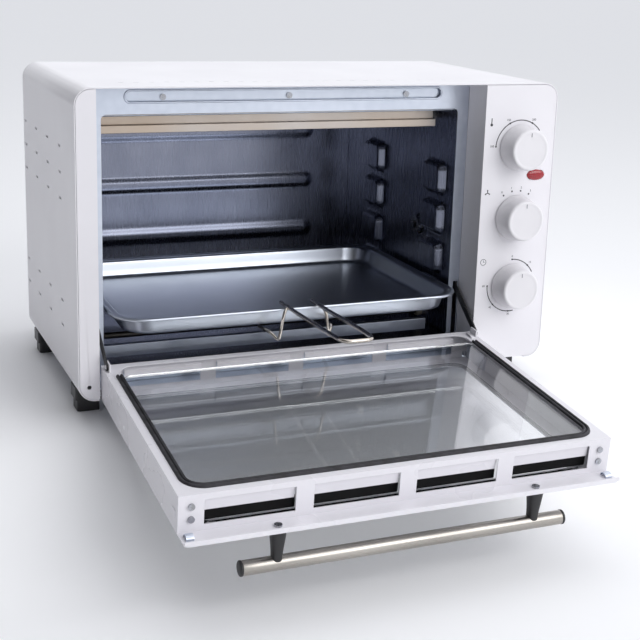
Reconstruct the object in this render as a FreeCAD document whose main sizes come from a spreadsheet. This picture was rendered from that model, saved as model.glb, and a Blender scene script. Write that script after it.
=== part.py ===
"""Countertop rotisserie oven with its drop-down door open, its baking tray drawn forward and a wire
tray handle hooked on the tray. Millimetres. +Z is up and +Y runs from the front to the back. The
origin is on the surface that the feet stand on, under the middle of the casing.

Door pieces are drawn as if the door were shut, about the hinge line, and hang() then swings them open.
"""
import FreeCAD
import Part
import Sketcher
import math
import os

doc = FreeCAD.newDocument("RotisserieOven")
sheet = doc.addObject("Spreadsheet::Sheet", "Sizes")
V = FreeCAD.Vector
PLANES = {"XY": "XY_Plane", "XZ": "XZ_Plane", "YZ": "YZ_Plane"}
nodes = []


class Size:
    """A length from the sheet, or one worked out from such lengths, with the expression that gives it."""

    def __init__(self, value, text):
        self.value = value
        self.text = text

    @staticmethod
    def of(other):
        if isinstance(other, Size):
            return other
        return Size(float(other), "(%.6g)" % other)

    def __add__(self, other):
        other = Size.of(other)
        return Size(self.value + other.value, "(%s + %s)" % (self.text, other.text))

    def __sub__(self, other):
        other = Size.of(other)
        return Size(self.value - other.value, "(%s - %s)" % (self.text, other.text))

    def __mul__(self, other):
        other = Size.of(other)
        return Size(self.value * other.value, "(%s * %s)" % (self.text, other.text))

    def __truediv__(self, other):
        other = Size.of(other)
        return Size(self.value / other.value, "(%s / %s)" % (self.text, other.text))

    def __radd__(self, other):
        return Size.of(other) + self

    def __rsub__(self, other):
        return Size.of(other) - self

    def __rmul__(self, other):
        return Size.of(other) * self

    def __neg__(self):
        return Size.of(0) - self

    def __float__(self):
        return self.value


row = 0


def cell(alias, value):
    """Put one driving dimension in the sheet and return it as a Size."""
    global row
    row += 1
    sheet.set("A%d" % row, alias)
    sheet.set("B%d" % row, "%g" % value)
    sheet.setAlias("B%d" % row, alias)
    return Size(float(value), "Sizes.%s" % alias)


# ---------------------------------------------------------------- driving dimensions
shell_width = cell("shell_width", 500)
shell_depth = cell("shell_depth", 262)
shell_height = cell("shell_height", 293)
shell_corner = cell("shell_corner", 16)
foot_height = cell("foot_height", 24)
foot_width = cell("foot_width", 26)
foot_inset = cell("foot_inset", 5)
foot_front = cell("foot_front", 39)
foot_draft = cell("foot_draft", 2)
skin = cell("skin", 1.2)
liner = cell("liner", 1)
hem = cell("hem", 20)
column_width = cell("column_width", 20.2)
panel_width = cell("panel_width", 83.75)
panel_wall = cell("panel_wall", 2)
base_setback = cell("base_setback", 14)
recess_depth = cell("recess_depth", 36.6)
seat_gap = cell("seat_gap", 0.3)
opening_side = cell("opening_side", 12.2)
opening_drop = cell("opening_drop", 29)
opening_base = cell("opening_base", 20)
opening_corner = cell("opening_corner", 5)
cavity_depth = cell("cavity_depth", 285)
cavity_side = cell("cavity_side", 4)
cavity_top = cell("cavity_top", 5)
cavity_base = cell("cavity_base", 6)
bulge_gap = cell("bulge_gap", 8)
bulge_margin = cell("bulge_margin", 6)
bulge_base = cell("bulge_base", 2)
bulge_corner = cell("bulge_corner", 6)
bead_height = cell("bead_height", 22)
bead_rise = cell("bead_rise", 2.5)
bead_pitch = cell("bead_pitch", 61)
bead_start = cell("bead_start", 69)
bead_left = cell("bead_left", 40)
bead_right = cell("bead_right", 48)
boss_length = cell("boss_length", 45)
boss_height = cell("boss_height", 35)
boss_corner = cell("boss_corner", 6)
boss_rise = cell("boss_rise", 8.5)
rack_pitch = cell("rack_pitch", 43)
boss_front = cell("boss_front", 24.4)
boss_spacing = cell("boss_spacing", 153)
emboss_inset = cell("emboss_inset", 22.4)
emboss_height = cell("emboss_height", 11)
emboss_depth = cell("emboss_depth", 2)
emboss_drop = cell("emboss_drop", 12.5)
frame_screw_pitch = cell("frame_screw_pitch", 126.4)
frame_screw_head = cell("frame_screw_head", 3)
louvre_length = cell("louvre_length", 11)
louvre_width = cell("louvre_width", 2.4)
louvre_front = cell("louvre_front", 64)
louvre_drop = cell("louvre_drop", 37)
louvre_break = cell("louvre_break", 50)
louvre_columns = cell("louvre_columns", 60)
louvre_rows = cell("louvre_rows", 25)
vent_inset = cell("vent_inset", 30)
vent_length = cell("vent_length", 5)
vent_pitch = cell("vent_pitch", 14.6)
vent_width = cell("vent_width", 2)
floor_slot_length = cell("floor_slot_length", 60)
floor_slot_width = cell("floor_slot_width", 6)
floor_slot_pitch = cell("floor_slot_pitch", 28)
floor_slot_inset = cell("floor_slot_inset", 80)
rear_slot_length = cell("rear_slot_length", 18)
rear_slot_width = cell("rear_slot_width", 4)
rear_slot_inset = cell("rear_slot_inset", 40)
rear_slot_rise = cell("rear_slot_rise", 55)
rear_slot_pitch = cell("rear_slot_pitch", 34)
rear_slot_step = cell("rear_slot_step", 60)
heater_radius = cell("heater_radius", 3.3)
heater_seat = cell("heater_seat", 6)
heater_wall = cell("heater_wall", 3)
heater_front = cell("heater_front", 70)
heater_spacing = cell("heater_spacing", 110)
upper_heater_drop = cell("upper_heater_drop", 20)
lower_heater_rise = cell("lower_heater_rise", 16)
guard_back = cell("guard_back", 23)
guard_end = cell("guard_end", 17)
guard_height = cell("guard_height", 12)
guard_flange = cell("guard_flange", 7)
upper_guard_gap = cell("upper_guard_gap", 1.5)
upper_guard_height = cell("upper_guard_height", 18)
upper_guard_step = cell("upper_guard_step", 6)
upper_guard_lip = cell("upper_guard_lip", 6.5)
lower_guard_rise = cell("lower_guard_rise", 8)
crumb_height = cell("crumb_height", 5)
tray_lap = cell("tray_lap", 1.7)
tray_lip = cell("tray_lip", 3)
tray_room = cell("tray_room", 35)
tray_rise = cell("tray_rise", 63.8)
tray_front = cell("tray_front", -7)
tray_deep = cell("tray_deep", 19)
tray_flange = cell("tray_flange", 9)
tray_corner = cell("tray_corner", 34)
tray_sheet = cell("tray_sheet", 1)
tray_taper = cell("tray_taper", 5)
grip_wire = cell("grip_wire", 2)
grip_half = cell("grip_half", 16)
grip_reach = cell("grip_reach", 140)
grip_foot = cell("grip_foot", 36)
spit_depth = cell("spit_depth", 119)
spit_rise = cell("spit_rise", 112)
socket_radius = cell("socket_radius", 9)
socket_bore = cell("socket_bore", 4.2)
socket_length = cell("socket_length", 14)
spindle_radius = cell("spindle_radius", 3.5)
motor_radius = cell("motor_radius", 25)
motor_depth = cell("motor_depth", 17)
motor_gap = cell("motor_gap", 10)
knob_pitch = cell("knob_pitch", 73.2)
knob_lift = cell("knob_lift", 8)
knob_radius = cell("knob_radius", 23.5)
knob_depth = cell("knob_depth", 22)
knob_gap = cell("knob_gap", 0.8)
shaft_radius = cell("shaft_radius", 3)
shaft_seat = cell("shaft_seat", 8)
knob_hub = cell("knob_hub", 14)
running_gap = cell("running_gap", 0.05)
control_size = cell("control_size", 44)
control_depth = cell("control_depth", 24)
bracket_half = cell("bracket_half", 36)
lamp_offset = cell("lamp_offset", 21.2)
lamp_lift = cell("lamp_lift", 44)
lamp_length = cell("lamp_length", 20)
lamp_width = cell("lamp_width", 10)
lamp_rise = cell("lamp_rise", 2.5)
lamp_lip = cell("lamp_lip", 1.2)
lamp_case = cell("lamp_case", 18)
terminal_back = cell("terminal_back", 16)
terminal_depth = cell("terminal_depth", 18)
hinge_back = cell("hinge_back", 6.1)
hinge_rise = cell("hinge_rise", 6.35)
hinge_pin_radius = cell("hinge_pin_radius", 3)
hinge_pin_bite = cell("hinge_pin_bite", 3.5)
hinge_tab = cell("hinge_tab", 2)
door_open_angle = cell("door_open_angle", 95.3)
door_gap = cell("door_gap", 1.5)
door_foot = cell("door_foot", 1.65)
door_frame_top = cell("door_frame_top", 261.6)
door_skin_top = cell("door_skin_top", 281.8)
door_inner = cell("door_inner", 27.9)
door_outer = cell("door_outer", 5.1)
door_sheet = cell("door_sheet", 1)
window_side = cell("window_side", 14)
window_top = cell("window_top", 14)
window_foot = cell("window_foot", 30)
flange_foot = cell("flange_foot", 7)
window_corner = cell("window_corner", 14)
glass_lap = cell("glass_lap", 4)
glass_thick = cell("glass_thick", 4)
outer_glass = cell("outer_glass", 3)
outer_margin = cell("outer_margin", 22)
seal_width = cell("seal_width", 7)
seal_rise = cell("seal_rise", 2.2)
slot_end = cell("slot_end", 21.2)
slot_web = cell("slot_web", 15.5)
slot_low = cell("slot_low", 1)
slot_high = cell("slot_high", 22.6)
bar_radius = cell("bar_radius", 6.25)
bar_length = cell("bar_length", 299)
bar_height = cell("bar_height", 272)
bar_out = cell("bar_out", 37.2)
bar_cap = cell("bar_cap", 3)
post_offset = cell("post_offset", 117.5)
post_width = cell("post_width", 11)
post_root = cell("post_root", 13)
post_wall = cell("post_wall", 2.4)
post_thread = cell("post_thread", 12)
stay_height = cell("stay_height", 14.9)
stay_inward = cell("stay_inward", 31.8)
stay_offset = cell("stay_offset", 3.8)
stay_thick = cell("stay_thick", 1.6)
stay_width = cell("stay_width", 7)
stay_length = cell("stay_length", 100)
stay_slope = cell("stay_slope", 36.9)
stay_slot_low = cell("stay_slot_low", 13)
stay_slot_high = cell("stay_slot_high", 80)
stay_slot_width = cell("stay_slot_width", 5.4)
stay_slot_shift = cell("stay_slot_shift", 0.5)
stay_pin_radius = cell("stay_pin_radius", 2)
spring_radius = cell("spring_radius", 4)
spring_wire = cell("spring_wire", 1.1)
spring_length = cell("spring_length", 66)
spring_pitch = cell("spring_pitch", 5)
spring_start = cell("spring_start", 150)
spring_rise = cell("spring_rise", 104)
spring_side = cell("spring_side", 7)
gland_radius = cell("gland_radius", 6)
gland_inset = cell("gland_inset", 40)
gland_length = cell("gland_length", 14)
gland_bore = cell("gland_bore", 3.6)
screw_radius = cell("screw_radius", 1.8)
rear_screw_side = cell("rear_screw_side", 12)
rear_screw_rise = cell("rear_screw_rise", 60)
rear_screw_drop = cell("rear_screw_drop", 8)
screw_head = cell("screw_head", 3.4)
screw_head_rise = cell("screw_head_rise", 1.6)
doc.recompute()

# ---------------------------------------------------------------- places worked out from them
left = -shell_width / 2
right = shell_width / 2
front = -shell_depth / 2
back = shell_depth / 2
base = foot_height
top = foot_height + shell_height
bay_left = left + column_width
bay_right = right - panel_width
bay_middle = (bay_left + bay_right) / 2
frame_face = front + recess_depth
frame_back = frame_face + liner
opening_left = bay_left + opening_side
opening_right = bay_right - opening_side
opening_low = base + opening_base
opening_top = top - opening_drop
cavity_left = opening_left - cavity_side
cavity_right = opening_right + cavity_side
cavity_low = opening_low - cavity_base
cavity_high = opening_top + cavity_top
cavity_front = frame_back
cavity_back = cavity_front + cavity_depth
panel_middle = (bay_right + right) / 2
hinge_y = front + hinge_back
hinge_z = base + hinge_rise
door_left = bay_left + door_gap
door_right = bay_right - door_gap
spit_y = front + spit_depth
spit_height = cavity_low + spit_rise
tray_rim_height = cavity_low + tray_rise
tray_left = cavity_left + boss_rise - tray_lap
tray_right = cavity_right - boss_rise + tray_lap
tray_rim_depth = cavity_depth - tray_room
knob_middle = (base + top) / 2 + knob_lift
lamp_height = knob_middle + lamp_lift
bulge_back = cavity_back + liner + bulge_gap


# ---------------------------------------------------------------- sketch outlines
def tie(geometry, point, spot):
    """Two constraints that tie one point of a sketch to its origin, across and up."""
    ties = []
    for kind, value in (("DistanceX", Size.of(spot[0])), ("DistanceY", Size.of(spot[1]))):
        ties.append((Sketcher.Constraint(kind, -1, 1, geometry, point, float(value)), value))
    return ties


def outline(points):
    """A closed outline of straight edges through the points."""

    def draw(sketch):
        flat = [V(float(x), float(y), 0) for x, y in points]
        first = sketch.GeometryCount
        count = len(flat)
        ties = []
        for i in range(count):
            sketch.addGeometry(Part.LineSegment(flat[i], flat[(i + 1) % count]), False)
        for i in range(count):
            joint = (first + i, 2, first + (i + 1) % count, 1)
            ties.append((Sketcher.Constraint("Coincident", *joint), None))
            ties += tie(first + i, 1, points[i])
        return ties

    return draw


def rect(x0, y0, x1, y1):
    """A rectangle between two opposite corners."""
    return outline([(x0, y0), (x1, y0), (x1, y1), (x0, y1)])


def circle(x, y, radius):
    """A circle about a point."""

    def draw(sketch):
        size = Size.of(radius)
        ring = Part.Circle(V(float(x), float(y), 0), V(0, 0, 1), float(size))
        index = sketch.addGeometry(ring, False)
        return tie(index, 3, (x, y)) + [(Sketcher.Constraint("Radius", index, float(size)), size)]

    return draw


def rounded(x0, y0, x1, y1, radius):
    """A rectangle with four equal rounded corners: its arcs' centres are tied, and arcs meet lines."""

    def draw(sketch):
        size = Size.of(radius)
        x_low, y_low, x_high, y_high = (Size.of(v) for v in (x0, y0, x1, y1))
        centres = [
            (x_high - size, y_low + size),
            (x_high - size, y_high - size),
            (x_low + size, y_high - size),
            (x_low + size, y_low + size),
        ]
        first = sketch.GeometryCount
        ties = []
        for i, (cx, cy) in enumerate(centres):
            turn = -math.pi / 2 + i * math.pi / 2
            ring = Part.Circle(V(float(cx), float(cy), 0), V(0, 0, 1), float(size))
            sketch.addGeometry(Part.ArcOfCircle(ring, turn, turn + math.pi / 2), False)
            ties += tie(first + i, 3, (cx, cy))
        ties.append((Sketcher.Constraint("Radius", first, float(size)), size))
        for i in range(1, 4):
            ties.append((Sketcher.Constraint("Equal", first, first + i), None))
        for i in range(4):
            arc, following = first + i, first + (i + 1) % 4
            start = sketch.getPoint(arc, 2)
            end = sketch.getPoint(following, 1)
            line = sketch.addGeometry(Part.LineSegment(start, end), False)
            ties.append((Sketcher.Constraint("Tangent", arc, 2, line, 1), None))
            ties.append((Sketcher.Constraint("Tangent", line, 2, following, 1), None))
        return ties

    return draw


class Piece:
    """One sheet or moulding: a body that sketches pad, cut and turn."""

    def __init__(self, label):
        self.body = doc.addObject("PartDesign::Body", label + "_body")
        self.body.Label = label
        self.label = label
        self.count = 0
        self.last = None

    def sketch(self, plane, shapes, at, spot=(0, 0)):
        """A sketch on one of the body's own planes, moved along that plane's normal to a height."""
        self.count += 1
        name = "%s_sketch%d" % (self.label, self.count)
        sketch = self.body.newObject("Sketcher::SketchObject", name)
        role = PLANES[plane]
        support = [f for f in self.body.Origin.OriginFeatures if f.Role == role][0]
        sketch.AttachmentSupport = [(support, "")]
        sketch.MapMode = "FlatFace"
        height = -Size.of(at) if plane == "XZ" else Size.of(at)
        sketch.setExpression("AttachmentOffset.Base.z", height.text)
        sketch.setExpression("AttachmentOffset.Base.x", Size.of(spot[0]).text)
        sketch.setExpression("AttachmentOffset.Base.y", Size.of(spot[1]).text)
        ties = []
        for draw in shapes:
            ties += draw(sketch)
        sketch.addConstraint([constraint for constraint, value in ties])
        for index, (constraint, value) in enumerate(ties):
            if value is not None:
                sketch.setExpression("Constraints[%d]" % index, value.text)
        return sketch

    def pad(self, plane, shapes, start, end):
        """Add material from one height along the plane's axis to a higher one."""
        sketch = self.sketch(plane, shapes, start)
        pad = self.body.newObject("PartDesign::Pad", "%s_pad%d" % (self.label, self.count))
        pad.Profile = sketch
        pad.setExpression("Length", (Size.of(end) - Size.of(start)).text)
        pad.Reversed = plane == "XZ"
        self.last = pad
        doc.recompute()
        return self

    def pocket(self, plane, shapes, start, end):
        """Cut material away from one height along the plane's axis to a higher one."""
        before = self.body.Shape.Volume
        sketch = self.sketch(plane, shapes, start)
        pocket = self.body.newObject("PartDesign::Pocket", "%s_cut%d" % (self.label, self.count))
        pocket.Profile = sketch
        pocket.setExpression("Length", (Size.of(end) - Size.of(start)).text)
        pocket.Reversed = plane != "XZ"
        self.last = pocket
        doc.recompute()
        if self.body.Shape.Volume > before - 1e-6:
            raise RuntimeError("%s cut nothing" % pocket.Name)
        return self

    def repeat(self, step, count, step_up=1, count_up=1):
        """Repeat the last pad or pocket in rows across its sketch, and rows of them up it."""
        before = self.body.Shape.Volume
        sketch = self.last.Profile[0]
        rows = self.body.newObject("PartDesign::LinearPattern", "%s_rows%d" % (self.label, self.count))
        rows.Originals = [self.last]
        rows.Direction = (sketch, ["H_Axis"])
        rows.Mode = "Spacing"
        rows.setExpression("Offset", Size.of(step).text)
        rows.Occurrences = count
        rows.Direction2 = (sketch, ["V_Axis"])
        rows.Mode2 = "Spacing"
        rows.setExpression("Offset2", Size.of(step_up).text)
        rows.Occurrences2 = count_up
        self.body.Tip = rows
        doc.recompute()
        if abs(self.body.Shape.Volume - before) < 1e-6:
            raise RuntimeError("%s repeated nothing" % rows.Name)
        return self

    def turn(self, shapes, centre):
        """Turn an outline of radius across and depth up about an axis that runs front to back."""
        sketch = self.sketch("XY", shapes, centre[1], (centre[0], 0))
        turned = self.body.newObject("PartDesign::Revolution", "%s_turn%d" % (self.label, self.count))
        turned.Profile = sketch
        turned.ReferenceAxis = (sketch, ["V_Axis"])
        turned.Angle = 360
        doc.recompute()
        return self

    def done(self):
        """Keep the finished body as a node."""
        nodes.append(self.body)
        return self.body


# ---------------------------------------------------------------- primitives
def block(name, low, high):
    """A box between two opposite corners."""
    box = doc.addObject("Part::Box", name)
    for side, axis, start, end in zip(("Length", "Width", "Height"), "xyz", low, high):
        box.setExpression(side, (Size.of(end) - Size.of(start)).text)
        box.setExpression("Placement.Base." + axis, Size.of(start).text)
    return box


def rod(name, start, axis, length, radius):
    """A round bar from a point along X, Y or Z."""
    bar = doc.addObject("Part::Cylinder", name)
    turns = {"X": (V(0, 1, 0), 90), "Y": (V(1, 0, 0), -90), "Z": (V(0, 0, 1), 0)}
    bar.Placement = FreeCAD.Placement(V(0, 0, 0), FreeCAD.Rotation(*turns[axis]))
    bar.setExpression("Height", Size.of(length).text)
    bar.setExpression("Radius", Size.of(radius).text)
    for letter, value in zip("xyz", start):
        bar.setExpression("Placement.Base." + letter, Size.of(value).text)
    return bar


def cone(name, start, length, radius, tip):
    """A tapered round along +Y from a point."""
    taper = doc.addObject("Part::Cone", name)
    taper.Placement = FreeCAD.Placement(V(0, 0, 0), FreeCAD.Rotation(V(1, 0, 0), -90))
    taper.setExpression("Height", Size.of(length).text)
    taper.setExpression("Radius1", Size.of(radius).text)
    taper.setExpression("Radius2", Size.of(tip).text)
    for letter, value in zip("xyz", start):
        taper.setExpression("Placement.Base." + letter, Size.of(value).text)
    return taper


def fuse(name, pieces):
    """Join several shapes into one."""
    whole = doc.addObject("Part::MultiFuse", name)
    whole.Shapes = pieces
    whole.Refine = True
    return whole


def cut(name, piece, tools):
    """Take one or more tools out of a piece."""
    rest = doc.addObject("Part::Cut", name)
    rest.Base = piece
    rest.Tool = tools[0] if len(tools) == 1 else fuse(name + "_tools", tools)
    return rest


def group(name, pieces):
    """Separate solids that share a node."""
    several = doc.addObject("Part::Compound", name)
    several.Links = pieces
    return several


def shaped(name, shape):
    """A shape that Part's own functions made."""
    feature = doc.addObject("Part::Feature", name)
    feature.Shape = shape
    return feature


def keep(label, piece):
    """Keep a finished object as a node under its own label."""
    piece.Label = label
    nodes.append(piece)
    return piece


def hang(piece):
    """Put a door piece on the hinge line and swing it open."""
    swing = FreeCAD.Rotation(V(1, 0, 0), float(door_open_angle))
    piece.Placement = FreeCAD.Placement(V(0, 0, 0), swing)
    piece.setExpression("Placement.Base.y", hinge_y.text)
    piece.setExpression("Placement.Base.z", hinge_z.text)
    piece.setExpression("Placement.Rotation.Angle", door_open_angle.text)
    return piece


def wire(points, radius, bend):
    """A round wire through the points, with an arc of one bend radius at each corner between."""
    spots = [V(*p) for p in points]
    edges = []
    here = spots[0]
    for before, corner, after in zip(spots, spots[1:], spots[2:]):
        along = (corner - before).normalize()
        away = (after - corner).normalize()
        angle = along.getAngle(away)
        reach = bend * math.tan(angle / 2)
        start = corner - along * reach
        end = corner + away * reach
        inward = (away - along).normalize()
        centre = corner + inward * (bend / math.cos(angle / 2))
        middle = centre - inward * bend
        edges.append(Part.LineSegment(here, start).toShape())
        edges.append(Part.Arc(start, middle, end).toShape())
        here = end
    edges.append(Part.LineSegment(here, spots[-1]).toShape())
    path = Part.Wire(edges)
    ring = Part.Wire(Part.Circle(spots[0], spots[1] - spots[0], radius).toShape())
    return path.makePipeShell([ring], True, False)


# ---------------------------------------------------------------- casing
def casing():
    """The wrapped shell, the plate under it, the rear cover, and the feet."""
    inner = shell_corner - skin
    shell = Piece("outer_shell")
    ring = [
        rounded(left, base, right, top, shell_corner),
        rounded(left + skin, base + skin, right - skin, top - skin, inner),
    ]
    shell.pad("XZ", ring, front, back)
    shell.pocket("XZ", [rect(left + hem, base - 1, right - hem, base + skin + 1)], front - 1, back + 1)
    near = front + louvre_front
    high = top - louvre_drop
    for start, rows in ((high - louvre_rows * 3, 4), (high - louvre_break - louvre_rows * 6, 3)):
        slot = rect(near, start, near + louvre_length, start + louvre_width)
        shell.pocket("YZ", [slot], left - 1, right + 1)
        shell.repeat(louvre_columns, 4, louvre_rows, rows)
    x = bay_left + vent_inset
    near = frame_back + vent_width * 2
    vent = rect(x, near, x + vent_length, near + vent_width)
    shell.pocket("XY", [vent], top - skin - 1, top + 1)
    shell.repeat(vent_pitch, 24)
    shell.done()

    plate = Piece("base_plate")
    side = hem + seat_gap
    area = rect(left + side, front + base_setback, right - side, back - skin - seat_gap)
    plate.pad("XY", [area], base, base + skin)
    x, near = left + floor_slot_inset, front + floor_slot_inset
    slot = rect(x, near, x + floor_slot_width, near + floor_slot_length)
    plate.pocket("XY", [slot], base - 1, base + skin + 1)
    plate.repeat(floor_slot_pitch, 12)
    plate.done()

    cover = Piece("rear_cover")
    wide_left = cavity_left - liner - bulge_margin
    wide_right = cavity_right + liner + bulge_margin
    wide_low = cavity_low - liner - bulge_margin + bulge_base
    wide_top = cavity_high + liner + bulge_margin + bulge_base
    bulge = rounded(wide_left, wide_low, wide_right, wide_top, bulge_corner)
    hollow = rounded(wide_left + skin, wide_low + skin, wide_right - skin, wide_top - skin,
                     bulge_corner - skin)
    gland_x, gland_z = right - gland_inset, base + gland_inset
    rear = [
        rounded(left + skin, base + skin, right - skin, top - skin, inner),
        bulge,
        circle(gland_x, gland_z, gland_radius + seat_gap),
    ]
    cover.pad("XZ", rear, back - skin, back)
    cover.pad("XZ", [bulge, hollow], back - skin, bulge_back)
    cover.pad("XZ", [bulge], bulge_back, bulge_back + skin)
    x, z = wide_left + rear_slot_inset, wide_low + rear_slot_rise
    slot = rect(x, z, x + rear_slot_length, z + rear_slot_width)
    cover.pocket("XZ", [slot], bulge_back - 1, bulge_back + skin + 1)
    cover.repeat(rear_slot_pitch, 10, rear_slot_step, 3)
    cover.done()

    spots = [
        ("front_left_foot", left + foot_inset, front + foot_front),
        ("front_right_foot", right - foot_inset - foot_width, front + foot_front),
        ("rear_left_foot", left + foot_inset, back - foot_width),
        ("rear_right_foot", right - foot_inset - foot_width, back - foot_width),
    ]
    screws = []
    for label, x, y in spots:
        foot = Piece(label)
        d = foot_draft
        wide = foot_width
        step = foot_height / 2
        foot.pad("XY", [rounded(x + d, y + d, x + wide - d, y + wide - d, 3)], 0, step)
        foot.pad("XY", [rounded(x, y, x + wide, y + wide, 3)], step, foot_height)
        mid_x, mid_y = x + wide / 2, y + wide / 2
        foot.pocket("XY", [circle(mid_x, mid_y, screw_head + 1)], -1, step)
        foot.pocket("XY", [circle(mid_x, mid_y, screw_radius)], step - 1, foot_height + 1)
        foot.done()
        shank = rod(label + "_shank", (mid_x, mid_y, step), "Z", step, screw_radius)
        seat = step - screw_head_rise
        head = rod(label + "_head", (mid_x, mid_y, seat), "Z", screw_head_rise, screw_head)
        screws.append(fuse(label + "_screw", [shank, head]))
    keep("foot_screws", group("foot_screw_set", screws))

    stem = rod("gland_stem", (gland_x, back - skin - 4, gland_z), "Y", skin + 8, gland_radius)
    collar = cone("gland_collar", (gland_x, back, gland_z), gland_length, gland_radius + 3, gland_radius)
    bore = rod("gland_way", (gland_x, back - 20, gland_z), "Y", gland_length + 40, gland_bore)
    keep("cord_gland", cut("gland", fuse("gland_solid", [stem, collar]), [bore]))

    heads = []
    side, rise, drop = rear_screw_side, rear_screw_rise, rear_screw_drop
    spots = [
        (left + side, base + rise),
        (left + side, top - rise),
        (right - side, base + rise),
        (right - side, top - rise),
        (bay_middle, top - drop),
        (right - rise, top - drop),
    ]
    for number, (x, z) in enumerate(spots):
        name = "rear_screw_%d" % number
        heads.append(rod(name, (x, back, z), "Y", screw_head_rise, screw_head))
    keep("rear_screws", group("rear_screw_set", heads))


# ---------------------------------------------------------------- front
def front_pieces():
    """The trim column, the control panel and the steel frame round the oven's mouth."""
    inner = shell_corner - skin - seat_gap
    gap = skin + seat_gap
    column = Piece("left_column")
    wide = rounded(left + gap, base + gap, left + gap + shell_corner * 3, top - gap, inner)
    column.pad("XZ", [wide], front, front + skin)
    beyond = rect(bay_left, base - 1, left + gap + shell_corner * 3 + 1, top + 1)
    column.pocket("XZ", [beyond], front - 1, front + skin + 1)
    column.pad("XZ", [rect(bay_left - skin, base + gap, bay_left, top - gap)], front + skin, frame_face)
    column.pocket("XZ", [circle(bay_left - 10, base + 14, 2)], front - 1, front + skin + 1)
    column.done()

    panel = Piece("control_panel")
    face = [rounded(bay_right - shell_corner, base + gap, right - gap, top - gap, inner)]
    for step in (-1, 0, 1):
        face.append(circle(panel_middle, knob_middle + knob_pitch * step, shaft_radius + 1))
    half = lamp_length / 2 - lamp_width / 2
    lamp_x = panel_middle + lamp_offset
    wide = lamp_width / 2
    face.append(rounded(lamp_x - half - wide, lamp_height - wide, lamp_x + half + wide,
                        lamp_height + wide, wide - 0.2))
    panel.pad("XZ", face, front, front + panel_wall)
    beyond = rect(bay_right - shell_corner - 1, base - 1, bay_right, top + 1)
    panel.pocket("XZ", [beyond], front - 1, front + panel_wall + 1)
    wall = rect(bay_right, base + gap, bay_right + panel_wall, top - gap)
    panel.pad("XZ", [wall], front + panel_wall, frame_face)
    panel.done()

    frame = Piece("front_frame")
    slot_half = stay_slot_width / 2
    slot_low, slot_high = base + stay_slot_low, base + stay_slot_high
    stay_left = bay_left + stay_offset + stay_slot_shift
    stay_right = bay_right - stay_offset - stay_slot_shift
    emboss_left, emboss_right = bay_left + emboss_inset + 12, bay_right - emboss_inset - 10
    emboss_mid = top - emboss_drop
    half = emboss_height / 2
    emboss_low, emboss_high = emboss_mid - half, emboss_mid + half
    mouth = rounded(emboss_left, emboss_low, emboss_right, emboss_high, half - 0.2)
    brim = rounded(emboss_left - liner, emboss_low - liner, emboss_right + liner,
                   emboss_high + liner, half + liner - 0.2)
    low, high = base + gap, top - gap
    sheet_outline = [
        rounded(bay_left + seat_gap, low, bay_right - seat_gap, high, 3),
        rounded(opening_left, opening_low, opening_right, opening_top, opening_corner),
        rect(stay_left - slot_half, slot_low, stay_left + slot_half, slot_high),
        rect(stay_right - slot_half, slot_low, stay_right + slot_half, slot_high),
        mouth,
    ]
    frame.pad("XZ", sheet_outline, frame_face, frame_back)
    frame.pad("XZ", [brim, mouth], frame_back, frame_back + emboss_depth)
    frame.pad("XZ", [brim], frame_back + emboss_depth, frame_back + emboss_depth + liner)
    frame.done()

    heads = []
    seat = frame_back + emboss_depth
    for step in (-1, 0, 1):
        spot = (bay_middle + frame_screw_pitch * step, seat - screw_head_rise, emboss_mid - 1)
        heads.append(rod("frame_screw_%d" % (step + 1), spot, "Y", screw_head_rise, frame_screw_head))
    keep("frame_screws", group("frame_screw_set", heads))


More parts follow.
